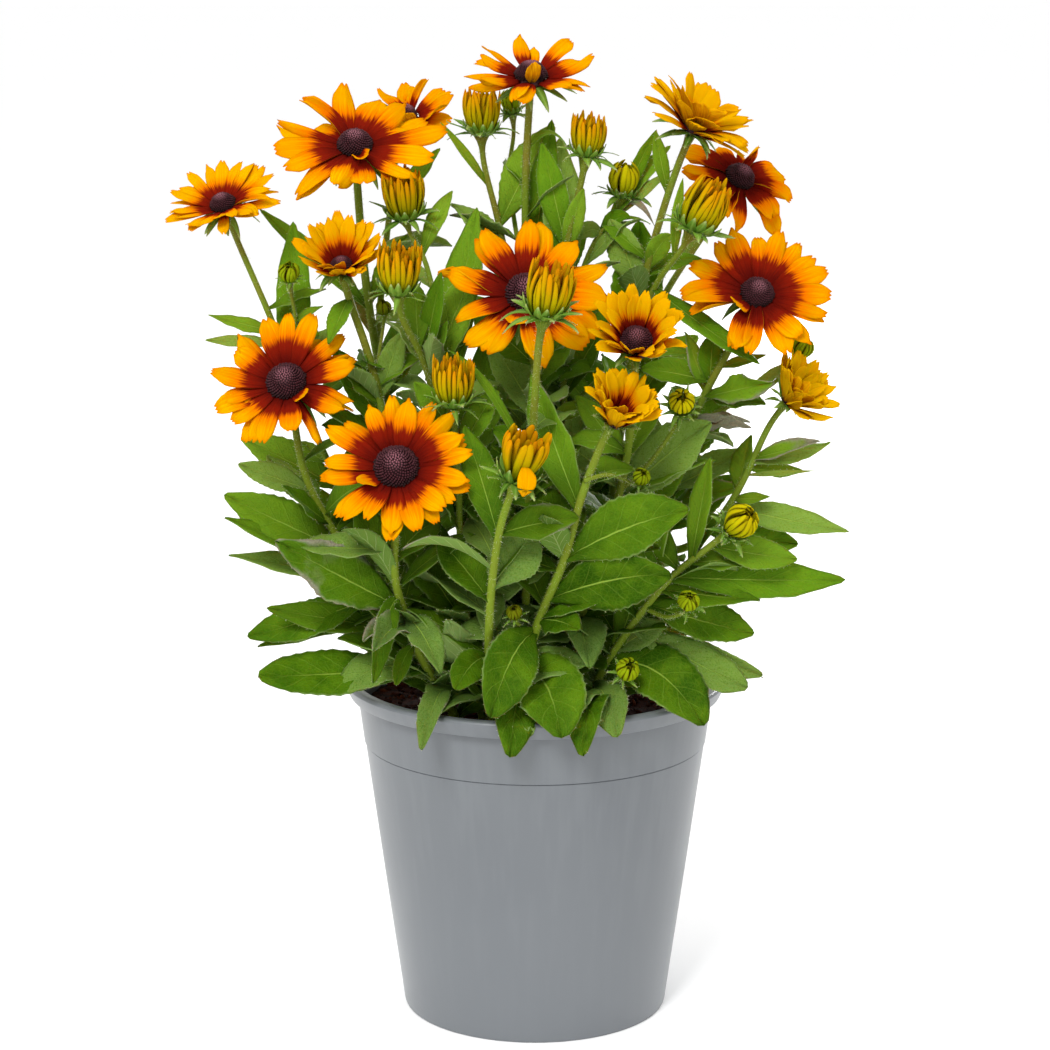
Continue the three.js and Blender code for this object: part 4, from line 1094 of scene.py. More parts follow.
def back_leaves(shoot, index, line):
    """The leaves of the back rule, as in the frame."""
    rule = BACK_LEAF
    for k in range(shoot.get("back", 0)):
        base = point_of(line, rule["first"] + rule["apart"] * k)
        turn = math.radians(rule["turn"] + rule["spread"] * ((k + index) % 3 - 1) + rule["creep"] * k)
        rise = math.radians(rule["rise"] + rule["steeper"] * k)
        way = unit(np.array((math.cos(turn), math.sin(turn), math.tan(rise))))
        tip = base + way * (rule["length"] - rule["shorter"] * k)
        yield base, tip, rule["width"], rule["arch"], rule["facing"]


# Leaves that fill the inside of the plant: how many a stem has, where on it, and how long and wide they are
FILL_LEAVES = 20
FILL_FROM, FILL_TO = 0.06, 0.84
FILL_LENGTH = (32, 62)
FILL_WIDTH = (0.26, 0.42)
FILL_SHORTER = 0.3  # how much shorter one at the top is, as a share
FILL_TURN = 2.4  # radians from one to the next round the stem
FILL_BACK, FILL_FRONT = 70, -92
HEAD_CLEAR, HEAD_BEHIND = 5, 4  # how far they keep off a head, aside and behind it, as the camera sees it

# Outline of the foliage from the front: height, then how far it reaches to the left and to the right
CROWN = (
    (165, -100, 92), (198, -128, 100), (223, -138, 122), (247, -142, 132), (272, -132, 126), (296, -116, 106),
    (321, -110, 98), (345, -108, 90), (369, -100, 74), (392, -84, 58), (416, -46, 46), (439, -8, 12),
    (440, 0, 0),
)


def in_crown(spot):
    heights, lefts, rights = zip(*CROWN)
    x, y, z = spot
    inside = np.interp(z, heights, lefts) < x < np.interp(z, heights, rights)
    return inside and heights[0] < z < heights[-1] and FILL_FRONT < y < FILL_BACK


def seen(spots):
    """Places as the camera sees them: across, up and away, in millimetres."""
    x, y, z = np.moveaxis(np.asarray(spots, float), -1, 0)
    pitch = math.radians(CAMERA_PITCH)
    return x, z * math.cos(pitch) + y * math.sin(pitch), y * math.cos(pitch) - z * math.sin(pitch)


def hides_a_head(spots):
    """Whether any of these spots lies in front of a flower or a bud, as the camera sees them."""
    x, up, away = seen(spots)
    for head in [*FLOWERS.values(), *BUDS.values(), *SMALL_BUDS.values()]:
        head_x, head_up, head_away = seen(head["at"])
        near = np.hypot(x - head_x, up - head_up) < head["across"] / 2 + HEAD_CLEAR
        if np.any(near & (away < head_away + HEAD_BEHIND)):
            return True
    return False


def fill_leaves(growth, rng, line):
    """Leaves of the inner plant, in a spiral up the stem, kept inside the crown and off the heads."""
    turn = rng.uniform(0, 2 * math.pi)
    for k in range(FILL_LEAVES):
        share = FILL_FROM + (FILL_TO - FILL_FROM) * (k + rng.random()) / FILL_LEAVES
        base = point_of(line, share)
        turn += FILL_TURN
        way = unit(np.array((math.cos(turn), math.sin(turn), rng.uniform(0.0, 0.9))))
        length = rng.uniform(*FILL_LENGTH) * (1 - FILL_SHORTER * share)
        tip = base + way * length
        if in_crown(tip) and not hides_a_head(base + way * length * np.linspace(0.2, 1, 5)[:, None]):
            grow_leaf(
                growth, rng, base, tip, length * rng.uniform(*FILL_WIDTH), arch=rng.uniform(2, 10),
                facing=rng.uniform(0.1, 0.6), age=rng.choice([0, 0, 0, 0, 0.4]), master=PLAIN_LEAF,
            )


# Stalks and sepals

NECK_SWELL = 0.21  # radius of a stalk's end for each millimetre of its cone or bud
NECK_LENGTH = 7
STALK_FOOT, STALK_TAPER = 1.12, 0.3  # radius at the foot, and how much less it is at the end, as shares
FOOT_SWELL = 0.8
FOOT_LENGTH = 25
STALK_HAIRS = 4  # for each millimetre
SHORT_UNDER = 60
SEPAL_REACH = 0.27  # length of a flower's sepals as a share of its width
SEPAL_LONGEST = 19
SEPAL_START = 0.135  # radius at which they begin, for each millimetre of the cone or the bud
SEPAL_LOWER, BUD_SEPAL_LOWER = 2.2, 0.8  # how far they lie under the seat of a flower and of a bud
SEPALS, SMALL_SEPALS = 12, 8
SEPAL_WIDEST = 2.6
SEPAL_HAIRS = 20
CUP_SEPALS = 13


def grow_stalk(growth, rng, shoot, first):
    """A hairy stalk that tapers to its neck and swells under its head, and at its foot. Returns its line."""
    line = eased(route_curve(route_of(shoot), 60 if first else 30), 12)
    head = head_of(shoot)
    share = np.linspace(0, 1, len(line))
    length = np.linalg.norm(np.diff(line, axis=0), axis=1).sum()
    radius = shoot["radius"] * (STALK_FOOT - STALK_TAPER * share)
    swell = head.get("cone", head["across"]) * NECK_SWELL
    neck = np.clip((share - (1 - NECK_LENGTH / length)) * length / NECK_LENGTH, 0, 1)
    radius = radius + (swell - radius) * neck**2
    if first:
        radius = radius + FOOT_SWELL * np.clip(1 - share * length / FOOT_LENGTH, 0, 1) ** 2
    master = STALK if length > SHORT_UNDER else SHORT_STALK
    place = master.co[:, (0, 2, 0)] * (1, 1, 0)
    growth.add(master, laid_stalk(master, line, radius), place, (rng.random(), 0, 0), STALK_PAINT)
    count = int(length * STALK_HAIRS)
    at = rng.random(count)
    spin = rng.uniform(0, 2 * math.pi, (count, 1))
    across, over = carried_frames(line)
    out = read_line(across, at) * np.cos(spin) + read_line(over, at) * np.sin(spin)
    hairs_on(growth, rng, read_line(line, at) + out * read_values(radius, at) * 0.95, out, *STALK_HAIR)
    return line


def sepal_bends(rng, shoot, steps):
    """How steeply a sepal rises along its length: it bends down from its start, and a bud's starts level or
    raised, while a flower's lies under its rays."""
    if "flower" in shoot:
        start = math.radians(RAY_LOOKS[shoot["flower"]]["cup"] - rng.uniform(12, 40))
    else:
        start = math.radians(rng.uniform(0, 40))
    return start - math.radians(rng.uniform(10, 75)) * steps**1.3


def grow_sepals(growth, rng, shoot):
    """The star of narrow hairy sepals under a head."""
    head = head_of(shoot)
    longest = head.get("reach", min(SEPAL_LONGEST, head["across"] * SEPAL_REACH))
    start = head.get("cone", head["across"]) * SEPAL_START
    drop = seat_drop(shoot)
    low = SEPAL_LOWER if "flower" in shoot else BUD_SEPAL_LOWER
    count = SMALL_SEPALS if "small" in shoot else SEPALS
    steps = np.linspace(0, 1, 9)
    for k in range(count):
        way, side = level_ways((k + rng.uniform(-0.3, 0.3)) / count * 2 * math.pi)
        reach = longest * rng.uniform(0.75, 1.2)
        out, up = bent_line(start, reach, sepal_bends(rng, shoot, steps))
        up = up - low - 0.5 * (k % 2)
        aside = side * rng.normal(0, 0.12) * reach
        line = out[:, None] * way + up[:, None] * UP + (steps**2)[:, None] * aside
        half = min(reach * rng.uniform(0.09, 0.16), SEPAL_WIDEST)
        co = laid_blade(
            SEPAL, line, UP, half, fold=0.3, ruffle=0.1, waves=2, phase=rng.random(), twist=rng.normal(0, 0.6)
        )
        co = at_head(head, co, drop)
        growth.add(SEPAL, co, SEPAL.place, (rng.random(), 0, 0), SEPAL_PAINT)
        chosen = rng.integers(0, len(co), SEPAL_HAIRS)
        middle = read_line(at_head(head, line, drop), SEPAL.co[chosen, 1])
        hairs_on(growth, rng, co[chosen], unit(co[chosen] - middle), *SEPAL_HAIR)


def grow_cup(growth, rng, head, drop):
    """The short sepals that hug the foot of a bud."""
    half, tall = head["across"] / 2, head["tall"]
    steps = np.linspace(0, 1, 9)[:, None]
    out = half * (0.5 + 0.52 * np.sin(steps * 1.5))
    for k in range(CUP_SEPALS):
        way, _ = level_ways((k + rng.uniform(-0.2, 0.2)) / CUP_SEPALS * 2 * math.pi)
        line = out * way + UP * (steps * tall * rng.uniform(0.26, 0.42) - 0.9)
        wide = half * rng.uniform(0.16, 0.22)
        co = laid_blade(SEPAL, line, way, wide, fold=0.2, ruffle=0.05, waves=2, phase=rng.random())
        growth.add(SEPAL, at_head(head, co, drop), SEPAL.place, (rng.random(), 0, 0), SEPAL_PAINT)


# Buds

# Rings of florets in a bud: place, how many, height, and how much painted shade they get
OPEN_BUD = ((0.84, 25, 1.0, 0), (0.6, 16, 0.98, 0.7), (0.34, 8, 0.9, 1.2))
LOOSE_BUD = ((0.8, 14, 1.0, 0), (0.52, 9, 0.92, 0.5), (0.22, 5, 0.84, 1))
CLOSED_BUD = ((0.84, 15, 1.0, 0), (0.56, 9, 0.9, 1), (0.24, 4, 0.72, 2))
DARKEST = 2
YOUNG_UNDER = (18, 13, 9)  # widths under which a bud is closed, then greener, then dull
LOOSE = ("opening",)
CLOSING = {"upper_right": 0.3, "centre_front": 0.12}  # how far the tips of an open bud lean in
FLORET_FLAT = 0.55  # thickness of a floret as a share of its width

# The ray that has fallen open: which way it points round its bud, the height of its foot, how far it hangs,
# and its half width
FALLEN_WAY = np.array((0.22, -0.975, 0))
FALLEN_FOOT = 11
FALLEN_DROP = 11
FALLEN_HALF = 4.4


def bud_kind(head, loose):
    """The rings of a bud, the master of its florets, their half width as a share of the bud's, and how far
    short of its ring one may be."""
    if head["across"] < YOUNG_UNDER[0]:
        return CLOSED_BUD, BUD_FLORET, 0.19, 0.86
    if loose:
        return LOOSE_BUD, BUD_FLORET, 0.2, 0.86
    return OPEN_BUD, TUBE_FLORET, 0.132, 0.76


def floret_reach(rng, rings, closing, k, t):
    """How far out a floret stands along its height, as a share of its ring's."""
    if rings is CLOSED_BUD:
        return 0.55 + 0.55 * np.sin(t * 2.2) - rng.uniform(0.42, 0.62) * t**4
    if rings is LOOSE_BUD:
        return 0.5 + 0.58 * np.sin(np.clip(t, 0, 1) * 1.9) + rng.normal(0.05, 0.06) * t**3
    flare = (rng.normal(-0.04, 0.07) - closing) * t**2 - 0.07 * (k % 2) * (1 - t)
    return 0.66 + 0.44 * np.sin(np.clip(t * 2.2, 0, math.pi / 2)) + flare


def grow_bud(growth, rng, head, paint, loose=False, closing=0.0):
    """A barrel of upright rolled florets, or in a young bud a ball of them that close over a middle in
    painted shade.
    """
    half, tall = head["across"] / 2, head["tall"]
    young = sum(head["across"] < size for size in YOUNG_UNDER)
    rings, floret, own, shortest = bud_kind(head, loose)
    x, y, t = floret.co.T
    place = np.stack([y, t, t * 0], 1)
    for share, count, height, dark in rings:
        for k in range(count):
            way, side = level_ways((k + share + rng.uniform(-0.2, 0.2)) / count * 2 * math.pi)
            size = tall * height * rng.uniform(shortest, 1.06)
            radius = half * share * floret_reach(rng, rings, closing, k, t)
            thick = half * own * rng.uniform(0.88, 1.15)
            lean = rng.normal(0, 0.06) * size
            out = radius + x * thick * FLORET_FLAT
            aside = y * thick + lean * t**2
            co = out[:, None] * way + aside[:, None] * side + (t * size)[:, None] * UP
            # the middle value of the look is the painted shade of the floret's ring
            look = (rng.random(), dark / DARKEST, young)
            growth.add(floret, at_head(head, co, tall / 2), place, look, paint)


def bud_piece(name, head, index, materials):
    """A bud. A loose one lets one ray fall open at its front."""
    rng = np.random.default_rng([SEED, 300 + index])
    growth = Growth()
    loose = name in LOOSE
    grow_bud(growth, rng, head, 0, loose, CLOSING.get(name, 0.0))
    if loose:
        steps = np.linspace(0, 1, 13)[:, None]
        out = head["across"] / 2 * (0.8 + 0.8 * np.sin(steps * 2))
        line = out * FALLEN_WAY + UP * (FALLEN_FOOT - FALLEN_DROP * steps**2)
        co = laid_blade(POINTED_PETAL, line, UP, FALLEN_HALF, fold=0.1, ruffle=0.05, waves=1.3, phase=0.2)
        growth.add(POINTED_PETAL, at_head(head, co, head["tall"] / 2), POINTED_PETAL.place, (0.6, 0, 0), 1)
    return growth.piece(f"{name}_bud", materials, "buds", f"bud_{name}")


def stem_piece(name, shoots, index, materials):
    """A stem with its side stalks, leaves, sepals and smallest buds."""
    rng = np.random.default_rng([SEED, index])
    growth = Growth()
    for number, shoot in enumerate(shoots):
        head = head_of(shoot)
        line = grow_stalk(growth, rng, shoot, number == 0)
        grow_sepals(growth, rng, shoot)
        if "bud" in shoot:
            grow_cup(growth, rng, head, seat_drop(shoot))
        if "small" in shoot:
            grow_bud(growth, rng, head, BUD_PAINT)
        for along, x, y, z, *rest in shoot.get("leaves", ()):
            grow_leaf(growth, rng, point_of(line, along), (x, y, z), *rest)
        for leaf in back_leaves(shoot, index, line):
            grow_leaf(growth, rng, *leaf)
        if number == 0:
            fill_leaves(growth, rng, line)
    return growth.piece(f"{name}_stem", materials, "greenery", f"stem_{name}")


# Rays and cones

CURLED_RISE = 14  # degrees that a curled ray rises more, where its flower's looks don't say
CURLED_BEND = -16  # degrees that it droops
CURLED_LONG = 0.55  # its length as a share of the others'
ROW_LOWER = 9  # degrees that the second row of rays lies under the first
PLATE = 0.34  # radius at which the rays begin, for each millimetre of the cone
PETALS = (TOOTHED_PETAL, NOTCHED_PETAL, POINTED_PETAL)
PETAL_SHARES = (0.48, 0.34, 0.18)
DOME_TURN = math.pi * (3 - math.sqrt(5))  # the angle from one floret of a spiral to the next
CONE_LEAN = 1.25  # radians that the outermost florets of a cone lean out
CONE_SIZES = {"top": 0.84}  # cones that are smaller than in the frame
CONE_WIDE = 0.92  # width of a cone's dome as a share of that in the frame
CORE_WIDE, CORE_TALL = 0.92, 0.9  # size of the body under the florets, as shares of the dome's
CONE_FLORETS, MORE_FLORETS = 70, 13  # florets of every cone, and more for each millimetre of its width


def ray_bends(rng, head, looks, row, angle):
    """How steeply a ray rises, how far it droops and whether it curls up over the cone, in radians."""
    ragged = looks["ragged"]
    raised = looks["inner"][1] if row < 0 else -ROW_LOWER * row
    rise = math.radians(looks["cup"] + rng.normal(0, 6) * ragged + raised)
    droop = math.radians(looks["droop"] * rng.uniform(0.3, 1.5) + rng.normal(0, 7) * ragged)
    apart = [abs((math.degrees(angle) - at + 180) % 360 - 180) for at in looks.get("curled", ())]
    if row == 0 and apart and min(apart) < 180 / head["rays"]:
        return rise + math.radians(looks.get("stand", CURLED_RISE)), math.radians(CURLED_BEND), True
    return rise, droop, False


def ray_line(plate, reach, bends, way, sway, low):
    """The line of a ray from its foot outwards: it rises, then bends down, and sways aside."""
    rise, droop = bends
    steps = np.linspace(0, 1, 13)
    out, up = bent_line(plate, reach - plate, rise - droop * steps**1.4 * 1.6)
    return out[:, None] * way + (up - low)[:, None] * UP + steps[:, None] ** 2 * sway


def rays_piece(name, head, index, material):
    """A ring of grooved rays, each a little unlike the next, with a second row under it."""
    rng = np.random.default_rng([SEED, 100 + index])
    looks = RAY_LOOKS[name]
    head = {**head, "turn": looks.get("turn", head["turn"]), "lift": looks.get("lift", head["lift"])}
    growth = Growth()
    plate = head["cone"] * PLATE
    reach = head["across"] / 2 * looks.get("size", 1)
    first = round(head["rays"] * looks.get("more", 1))
    wide = 2 * math.pi * reach * 0.62 / first * looks["wide"] / 2
    ragged = looks["ragged"]
    inner, _, inner_reach = looks.get("inner", (0, 0, 1))
    for row, count in ((0, first), (1, first // 2), (-1, inner)):
        for k in range(count):
            angle = (k + 0.5 * row + rng.normal(0, 0.13) * ragged) / count * 2 * math.pi
            *bends, curled = ray_bends(rng, head, looks, row, angle)
            long = reach * (1.01 + rng.normal(0, 0.05) * ragged) * (inner_reach if row < 0 else 1)
            if curled:
                long = plate + (long - plate) * CURLED_LONG
            way, side = level_ways(angle)
            sway = side * rng.normal(0, 0.07) * ragged * (reach - plate)
            line = ray_line(plate, long, bends, way, sway, 0.3 + 0.7 * row + 0.35 * (k % 2))
            half = wide * rng.uniform(0.78, 1.12)
            rolled = rng.random() < looks["rolled"]
            fold = rng.choice((-1, 1)) * rng.uniform(0.8, 1.2) if rolled else rng.uniform(-0.3, 0.3)
            master = PETALS[rng.choice(3, p=PETAL_SHARES)]
            co = laid_blade(
                master, line, UP, half, fold=fold, ruffle=rng.uniform(0.02, 0.14) * ragged, waves=1.3,
                phase=rng.random(), twist=rng.normal(0, 0.4) * ragged, roll=0.12,
                twirl=rng.normal(0, 0.35) * ragged,
            )
            look = (rng.random(), looks["red"] * rng.uniform(0.88, 1.1), looks.get("yellow", 0))
            growth.add(master, at_head(head, co, foot_of_rays(head)), master.place, look)
    return growth.piece(f"{name}_rays", [material], "rays", f"rays_{name}")


def dome_model(radius, tall):
    """The body of a cone: a ball cut level at its foot and closed there."""
    bpy.ops.mesh.primitive_uv_sphere_add(segments=24, ring_count=14, radius=1)
    mode("EDIT")
    bpy.ops.mesh.select_all(action="SELECT")
    bpy.ops.mesh.bisect(plane_co=(0, 0, 0), plane_no=(0, 0, 1), use_fill=True, clear_inner=True)
    bpy.ops.mesh.select_all(action="SELECT")
    bpy.ops.transform.resize(value=(radius, radius, tall))
    mode("OBJECT")
    return bpy.context.object


def cone_piece(name, head, index, material):
    """The dark cone: a dome packed with fine florets in a spiral."""
    rng = np.random.default_rng([SEED, 200 + index])
    growth = Growth()
    size = CONE_SIZES.get(name, 1)
    half, tall = head["cone"] / 2 * CONE_WIDE * size, head["cone"] * CONE_TALL * size
    drop = head["cone"] * CONE_TALL / 2
    core = Master(dome_model(half * CORE_WIDE, tall * CORE_TALL))
    growth.add(core, at_head(head, core.co, drop), core.place, (0.5, 0.7, 0))
    count = int(CONE_FLORETS + head["cone"] * MORE_FLORETS)
    number = np.arange(count)
    share = np.sqrt((number + 0.5) / count)
    angle = number * DOME_TURN
    lean = share * CONE_LEAN
    round_it = np.stack([np.cos(angle), np.sin(angle)], 1)
    out = half * 0.9 * np.sin(lean) / math.sin(CONE_LEAN)
    rise = tall * 0.9 * (np.cos(lean) - math.cos(CONE_LEAN)) / (1 - math.cos(CONE_LEAN))
    foot = np.column_stack([out[:, None] * round_it, rise])
    way = np.column_stack([np.sin(lean)[:, None] * round_it, np.cos(lean) * 1.3])
    way = unit(unit(way) + rng.normal(0, 0.08, way.shape))
    across = unit(np.cross(way, np.array((0.3, 0.2, 1.0))))
    thick = (half / math.sqrt(count) * (0.85 + 0.3 * share) * 1.2)[:, None, None]
    long = (half * (0.07 + 0.05 * share) * rng.uniform(0.7, 1.3, count))[:, None, None]
    spots = placed_copies(DISC_FLORET, foot, across, np.cross(way, across), way, thick, long, sunk=0.25)
    look = np.stack([rng.random(count), share, np.zeros(count)], 1)
    growth.add(DISC_FLORET, at_head(head, spots, drop), DISC_FLORET.co[:, (0, 2, 0)] * (0, 1, 0), look)
    return growth.piece(f"{name}_cone", [material], "cones", f"cone_{name}")


# Pot and soil


def pot_outline():
    """Radius and height of each station of the pot, from its foot up its outside and down its inside."""
    rim_foot = POT_HEIGHT - RIM_HEIGHT
    bridge = POT_HEIGHT - RIM_SKIRT
    groove = STEP_HEIGHT + STEP_DEPTH
    return (
        (wall_radius(0), POT_FOOT_ROUND),
        (wall_radius(STEP_HEIGHT / 2), STEP_HEIGHT / 2),
        (wall_radius(STEP_HEIGHT), STEP_HEIGHT),
        (wall_radius(groove) - STEP_DEPTH, groove),
        (wall_radius(groove) + STEP_DEPTH, groove + STEP_DEPTH / 2),
        (wall_radius(rim_foot) + STEP_DEPTH, rim_foot + 1),
        (RIM_RADIUS - RIM_FLARE, rim_foot),
        (RIM_RADIUS, POT_HEIGHT - RIM_ROUND),
        (RIM_RADIUS - RIM_ROUND / 4, POT_HEIGHT),
        (RIM_INNER_RADIUS, POT_HEIGHT),
        (wall_radius(bridge) - POT_WALL, bridge - RIM_ROUND),
        (wall_radius(POT_FLOOR) - POT_WALL, POT_FLOOR),
    )


def pot_piece(material):
    """The pot, drawn up from a disc: out over its foot, up the wall, over the rim and down its inside."""
    radius, height = POT_BASE_RADIUS - POT_FOOT_ROUND * 0.3, 0
    bpy.ops.mesh.primitive_circle_add(vertices=POT_SIDES, radius=radius, fill_type="NGON")
    model = bpy.context.object
    mode("EDIT")
    bpy.ops.mesh.select_mode(type="FACE")
    bpy.ops.mesh.select_all(action="SELECT")
    for next_radius, next_height in pot_outline():
        bpy.ops.mesh.extrude_region_move(TRANSFORM_OT_translate={"value": (0, 0, next_height - height)})
        grow = next_radius / radius
        bpy.ops.transform.resize(value=(grow, grow, 1), center_override=(0, 0, next_height))
        radius, height = next_radius, next_height
    bpy.ops.mesh.select_mode(type="VERT")
    bpy.ops.mesh.select_all(action="SELECT")
    bpy.ops.mesh.normals_make_consistent(inside=False)
    for ring_height, width in BEVELS:
        corners_where(lambda co: abs(co.z - ring_height) < 0.05)
        bpy.ops.mesh.bevel(offset=width, segments=4, affect="EDGES", clamp_overlap=True)
    mode("OBJECT")
    for k in range(DRAIN_COUNT):
        way, _ = level_ways(k / DRAIN_COUNT * 2 * math.pi)
        bpy.ops.mesh.primitive_cylinder_add(
            vertices=DRAIN_SIDES, radius=DRAIN_RADIUS, depth=POT_FLOOR * 4, location=way * DRAIN_CIRCLE
        )
        drill = bpy.context.object
        cut = model.modifiers.new("drain", "BOOLEAN")
        cut.object = drill
        applied(model, cut)
        bpy.data.objects.remove(drill)
    model.name = "nursery_pot"
    model.data.transform(Matrix.Scale(MM, 4))
    model.data.materials.clear()
    model.data.materials.append(material)
    bpy.ops.object.select_all(action="DESELECT")
    model.select_set(True)
    bpy.context.view_layer.objects.active = model
    bpy.ops.object.shade_smooth_by_angle(angle=math.radians(SMOOTH_UNDER))
    return settled(model, "pot", "pot")


def soil_block(rng, reach, floor):
    """The block that fills the pot, uneven on top."""
    bpy.ops.mesh.primitive_cylinder_add(
        vertices=SOIL_SIDES, radius=reach, depth=SOIL_TOP - floor, location=(0, 0, (SOIL_TOP + floor) / 2)
    )
    model = bpy.context.object
    bpy.ops.object.transform_apply()
    mode("EDIT")
    corners_where(lambda co: co.z < floor + 1)
    foot = (wall_radius(floor) - POT_WALL - SOIL_GAP) / reach
    bpy.ops.transform.resize(value=(foot, foot, 1), center_override=(0, 0, floor))
    faces_where(lambda co: co.z > SOIL_TOP - 1)
    for _ in range(SOIL_RINGS):
        bpy.ops.mesh.inset(thickness=reach * 0.9 / SOIL_RINGS)
    mode("OBJECT")
    for corner in model.data.vertices:
        if corner.co.z > SOIL_TOP - 1:
            corner.co.z -= abs(rng.normal(0, SOIL_LUMPS))
    return Master(model)


def soil_piece(material):
    """The block of soil with loose crumbs all over it."""
    rng = np.random.default_rng([SEED, 400])
    reach = wall_radius(SOIL_TOP) - POT_WALL - SOIL_GAP
    block = soil_block(rng, reach, POT_FLOOR + SOIL_GAP)
    growth = Growth()
    growth.add(block, block.co, block.place, (0.5, 0, 0))
    spin = rng.uniform(0, 2 * math.pi, GRANULES)
    out = (reach - 2) * np.sqrt(rng.random(GRANULES))
    spots = np.stack([out * np.cos(spin), out * np.sin(spin), SOIL_TOP - rng.uniform(0, 1.3, GRANULES)], 1)
    size = rng.gamma(3, GRANULE_SIZE, (GRANULES, 1, 1)).clip(*GRANULE_LIMITS)
    turn = unit(rng.normal(0, 1, (GRANULES, 3)))
    side = unit(np.cross(turn, np.array((0.2, 0.5, 1))))
    basis = np.stack([turn, side, np.cross(turn, side)], 1)
    co = spots[:, None] + (GRANULE.co[None] * size) @ basis
    look = np.stack([rng.random(GRANULES), rng.random(GRANULES), np.zeros(GRANULES)], 1)
    growth.add(GRANULE, co, GRANULE.place, look)
    return growth.piece("potting_soil", [material], "soil", "soil")


# Materials


def rgb(code):
    """A colour written as on a screen, brought to the linear values that the nodes take."""
    parts = [int(code[i : i + 2], 16) / 255 for i in (1, 3, 5)]
    return (*[p / 12.92 if p <= 0.04045 else ((p + 0.055) / 1.055) ** 2.4 for p in parts], 1)


class Paint:
    """A material under construction: it adds nodes and joins them."""

    def __init__(self, name, tree=None):
        if tree is None:
            self.material = bpy.data.materials.new(name)
            self.material.use_nodes = True
            tree = self.material.node_tree
        self.tree = tree

    def feed(self, socket, value):
        """Joins a socket to another, or sets it to a value or a colour. None leaves it as it is."""
        if isinstance(value, bpy.types.NodeSocket):
            self.tree.links.new(value, socket)
        elif value is not None:
            socket.default_value = rgb(value) if isinstance(value, str) else value

    def node(self, kind, *inputs, **settings):
        """A node with its settings, and its first inputs in their order."""
        made = self.tree.nodes.new(kind)
        for key, value in settings.items():
            setattr(made, key, value)
        for socket, value in zip(made.inputs, inputs):
            self.feed(socket, value)
        return made

    def fitted(self, made, **inputs):
        """A node whose inputs are fed by their names."""
        for key, value in inputs.items():
            self.feed(made.inputs[key], value)
        return made.outputs

    def math(self, operation, *inputs):
        return self.node("ShaderNodeMath", *inputs, operation=operation).outputs[0]

    def times(self, first, second):
        return self.math("MULTIPLY", first, second)

    def plus(self, first, second):
        return self.math("ADD", first, second)

    def minus(self, first, second):
        return self.math("SUBTRACT", first, second)

    def size(self, value):
        return self.math("ABSOLUTE", value)

    def ramp(self, value, low, high, to_low=0.0, to_high=1.0):
        """Value from low to high brought smoothly to to_low to to_high."""
        kind = "ShaderNodeMapRange"
        return self.node(kind, value, low, high, to_low, to_high, interpolation_type="SMOOTHSTEP").outputs[0]

    def mix(self, share, first, second):
        """First with a share of second: each is a colour or a socket."""
        made = self.node("ShaderNodeMix", data_type="RGBA")
        for place, value in ((0, share), (6, first), (7, second)):
            self.feed(made.inputs[place], value)
        return made.outputs[2]

    def split(self, vector):
        return self.node("ShaderNodeSeparateXYZ", vector).outputs

    def joined(self, x, y, z):
        return self.node("ShaderNodeCombineXYZ", x, y, z).outputs[0]

    def attribute(self, name):
        return self.split(self.node("ShaderNodeAttribute", attribute_name=name).outputs["Vector"])

    def where(self):
        """The place on the piece, in metres."""
        return self.node("ShaderNodeTexCoord").outputs["Object"]

    def noise(self, vector, scale, detail=2.0, rough=0.5):
        made = self.node("ShaderNodeTexNoise", vector)
        return self.fitted(made, Scale=scale, Detail=detail, Roughness=rough)["Fac"]

    def group(self, group, **values):
        return self.fitted(self.node("ShaderNodeGroup", node_tree=group), **values)

    def bump(self, height, strength, distance):
        made = self.node("ShaderNodeBump")
        return self.fitted(made, Strength=strength, Distance=distance, Height=height)[0]

    def finish(self, colour, roughness, normal=None, **values):
        """Feeds the material's own shader. Values are its other sockets, with _ for a space."""
        shader = self.tree.nodes["Principled BSDF"]
        values = {key.replace("_", " "): value for key, value in values.items()}
        self.fitted(shader, **{"Base Color": colour, "Roughness": roughness, "Normal": normal}, **values)
        return self.material


def shader_group(name, given, put):
    """A node group: its tree, and by name the sockets inside it that it is given and that it puts out."""
    tree = bpy.data.node_groups.new(name, "ShaderNodeTree")
    for label, value in given.items():
        socket = tree.interface.new_socket(label, in_out="INPUT", socket_type="NodeSocketFloat")
        socket.default_value = value
    for label in put:
        tree.interface.new_socket(label, in_out="OUTPUT", socket_type="NodeSocketFloat")
    return tree, tree.nodes.new("NodeGroupInput").outputs, tree.nodes.new("NodeGroupOutput").inputs


def mottle_group():
    """Uneven patches and fine grain over a surface, as two masks."""
    tree, given, put = shader_group("mottle", {"Size": 100.0, "Grain": 1500.0}, ("Patches", "Fine"))
    paint = Paint("mottle", tree)
    where = paint.where()
    paint.feed(put["Patches"], paint.ramp(paint.noise(where, given["Size"], 3), 0.32, 0.68))
    paint.feed(put["Fine"], paint.noise(where, given["Grain"], 2, 0.6))
    return tree


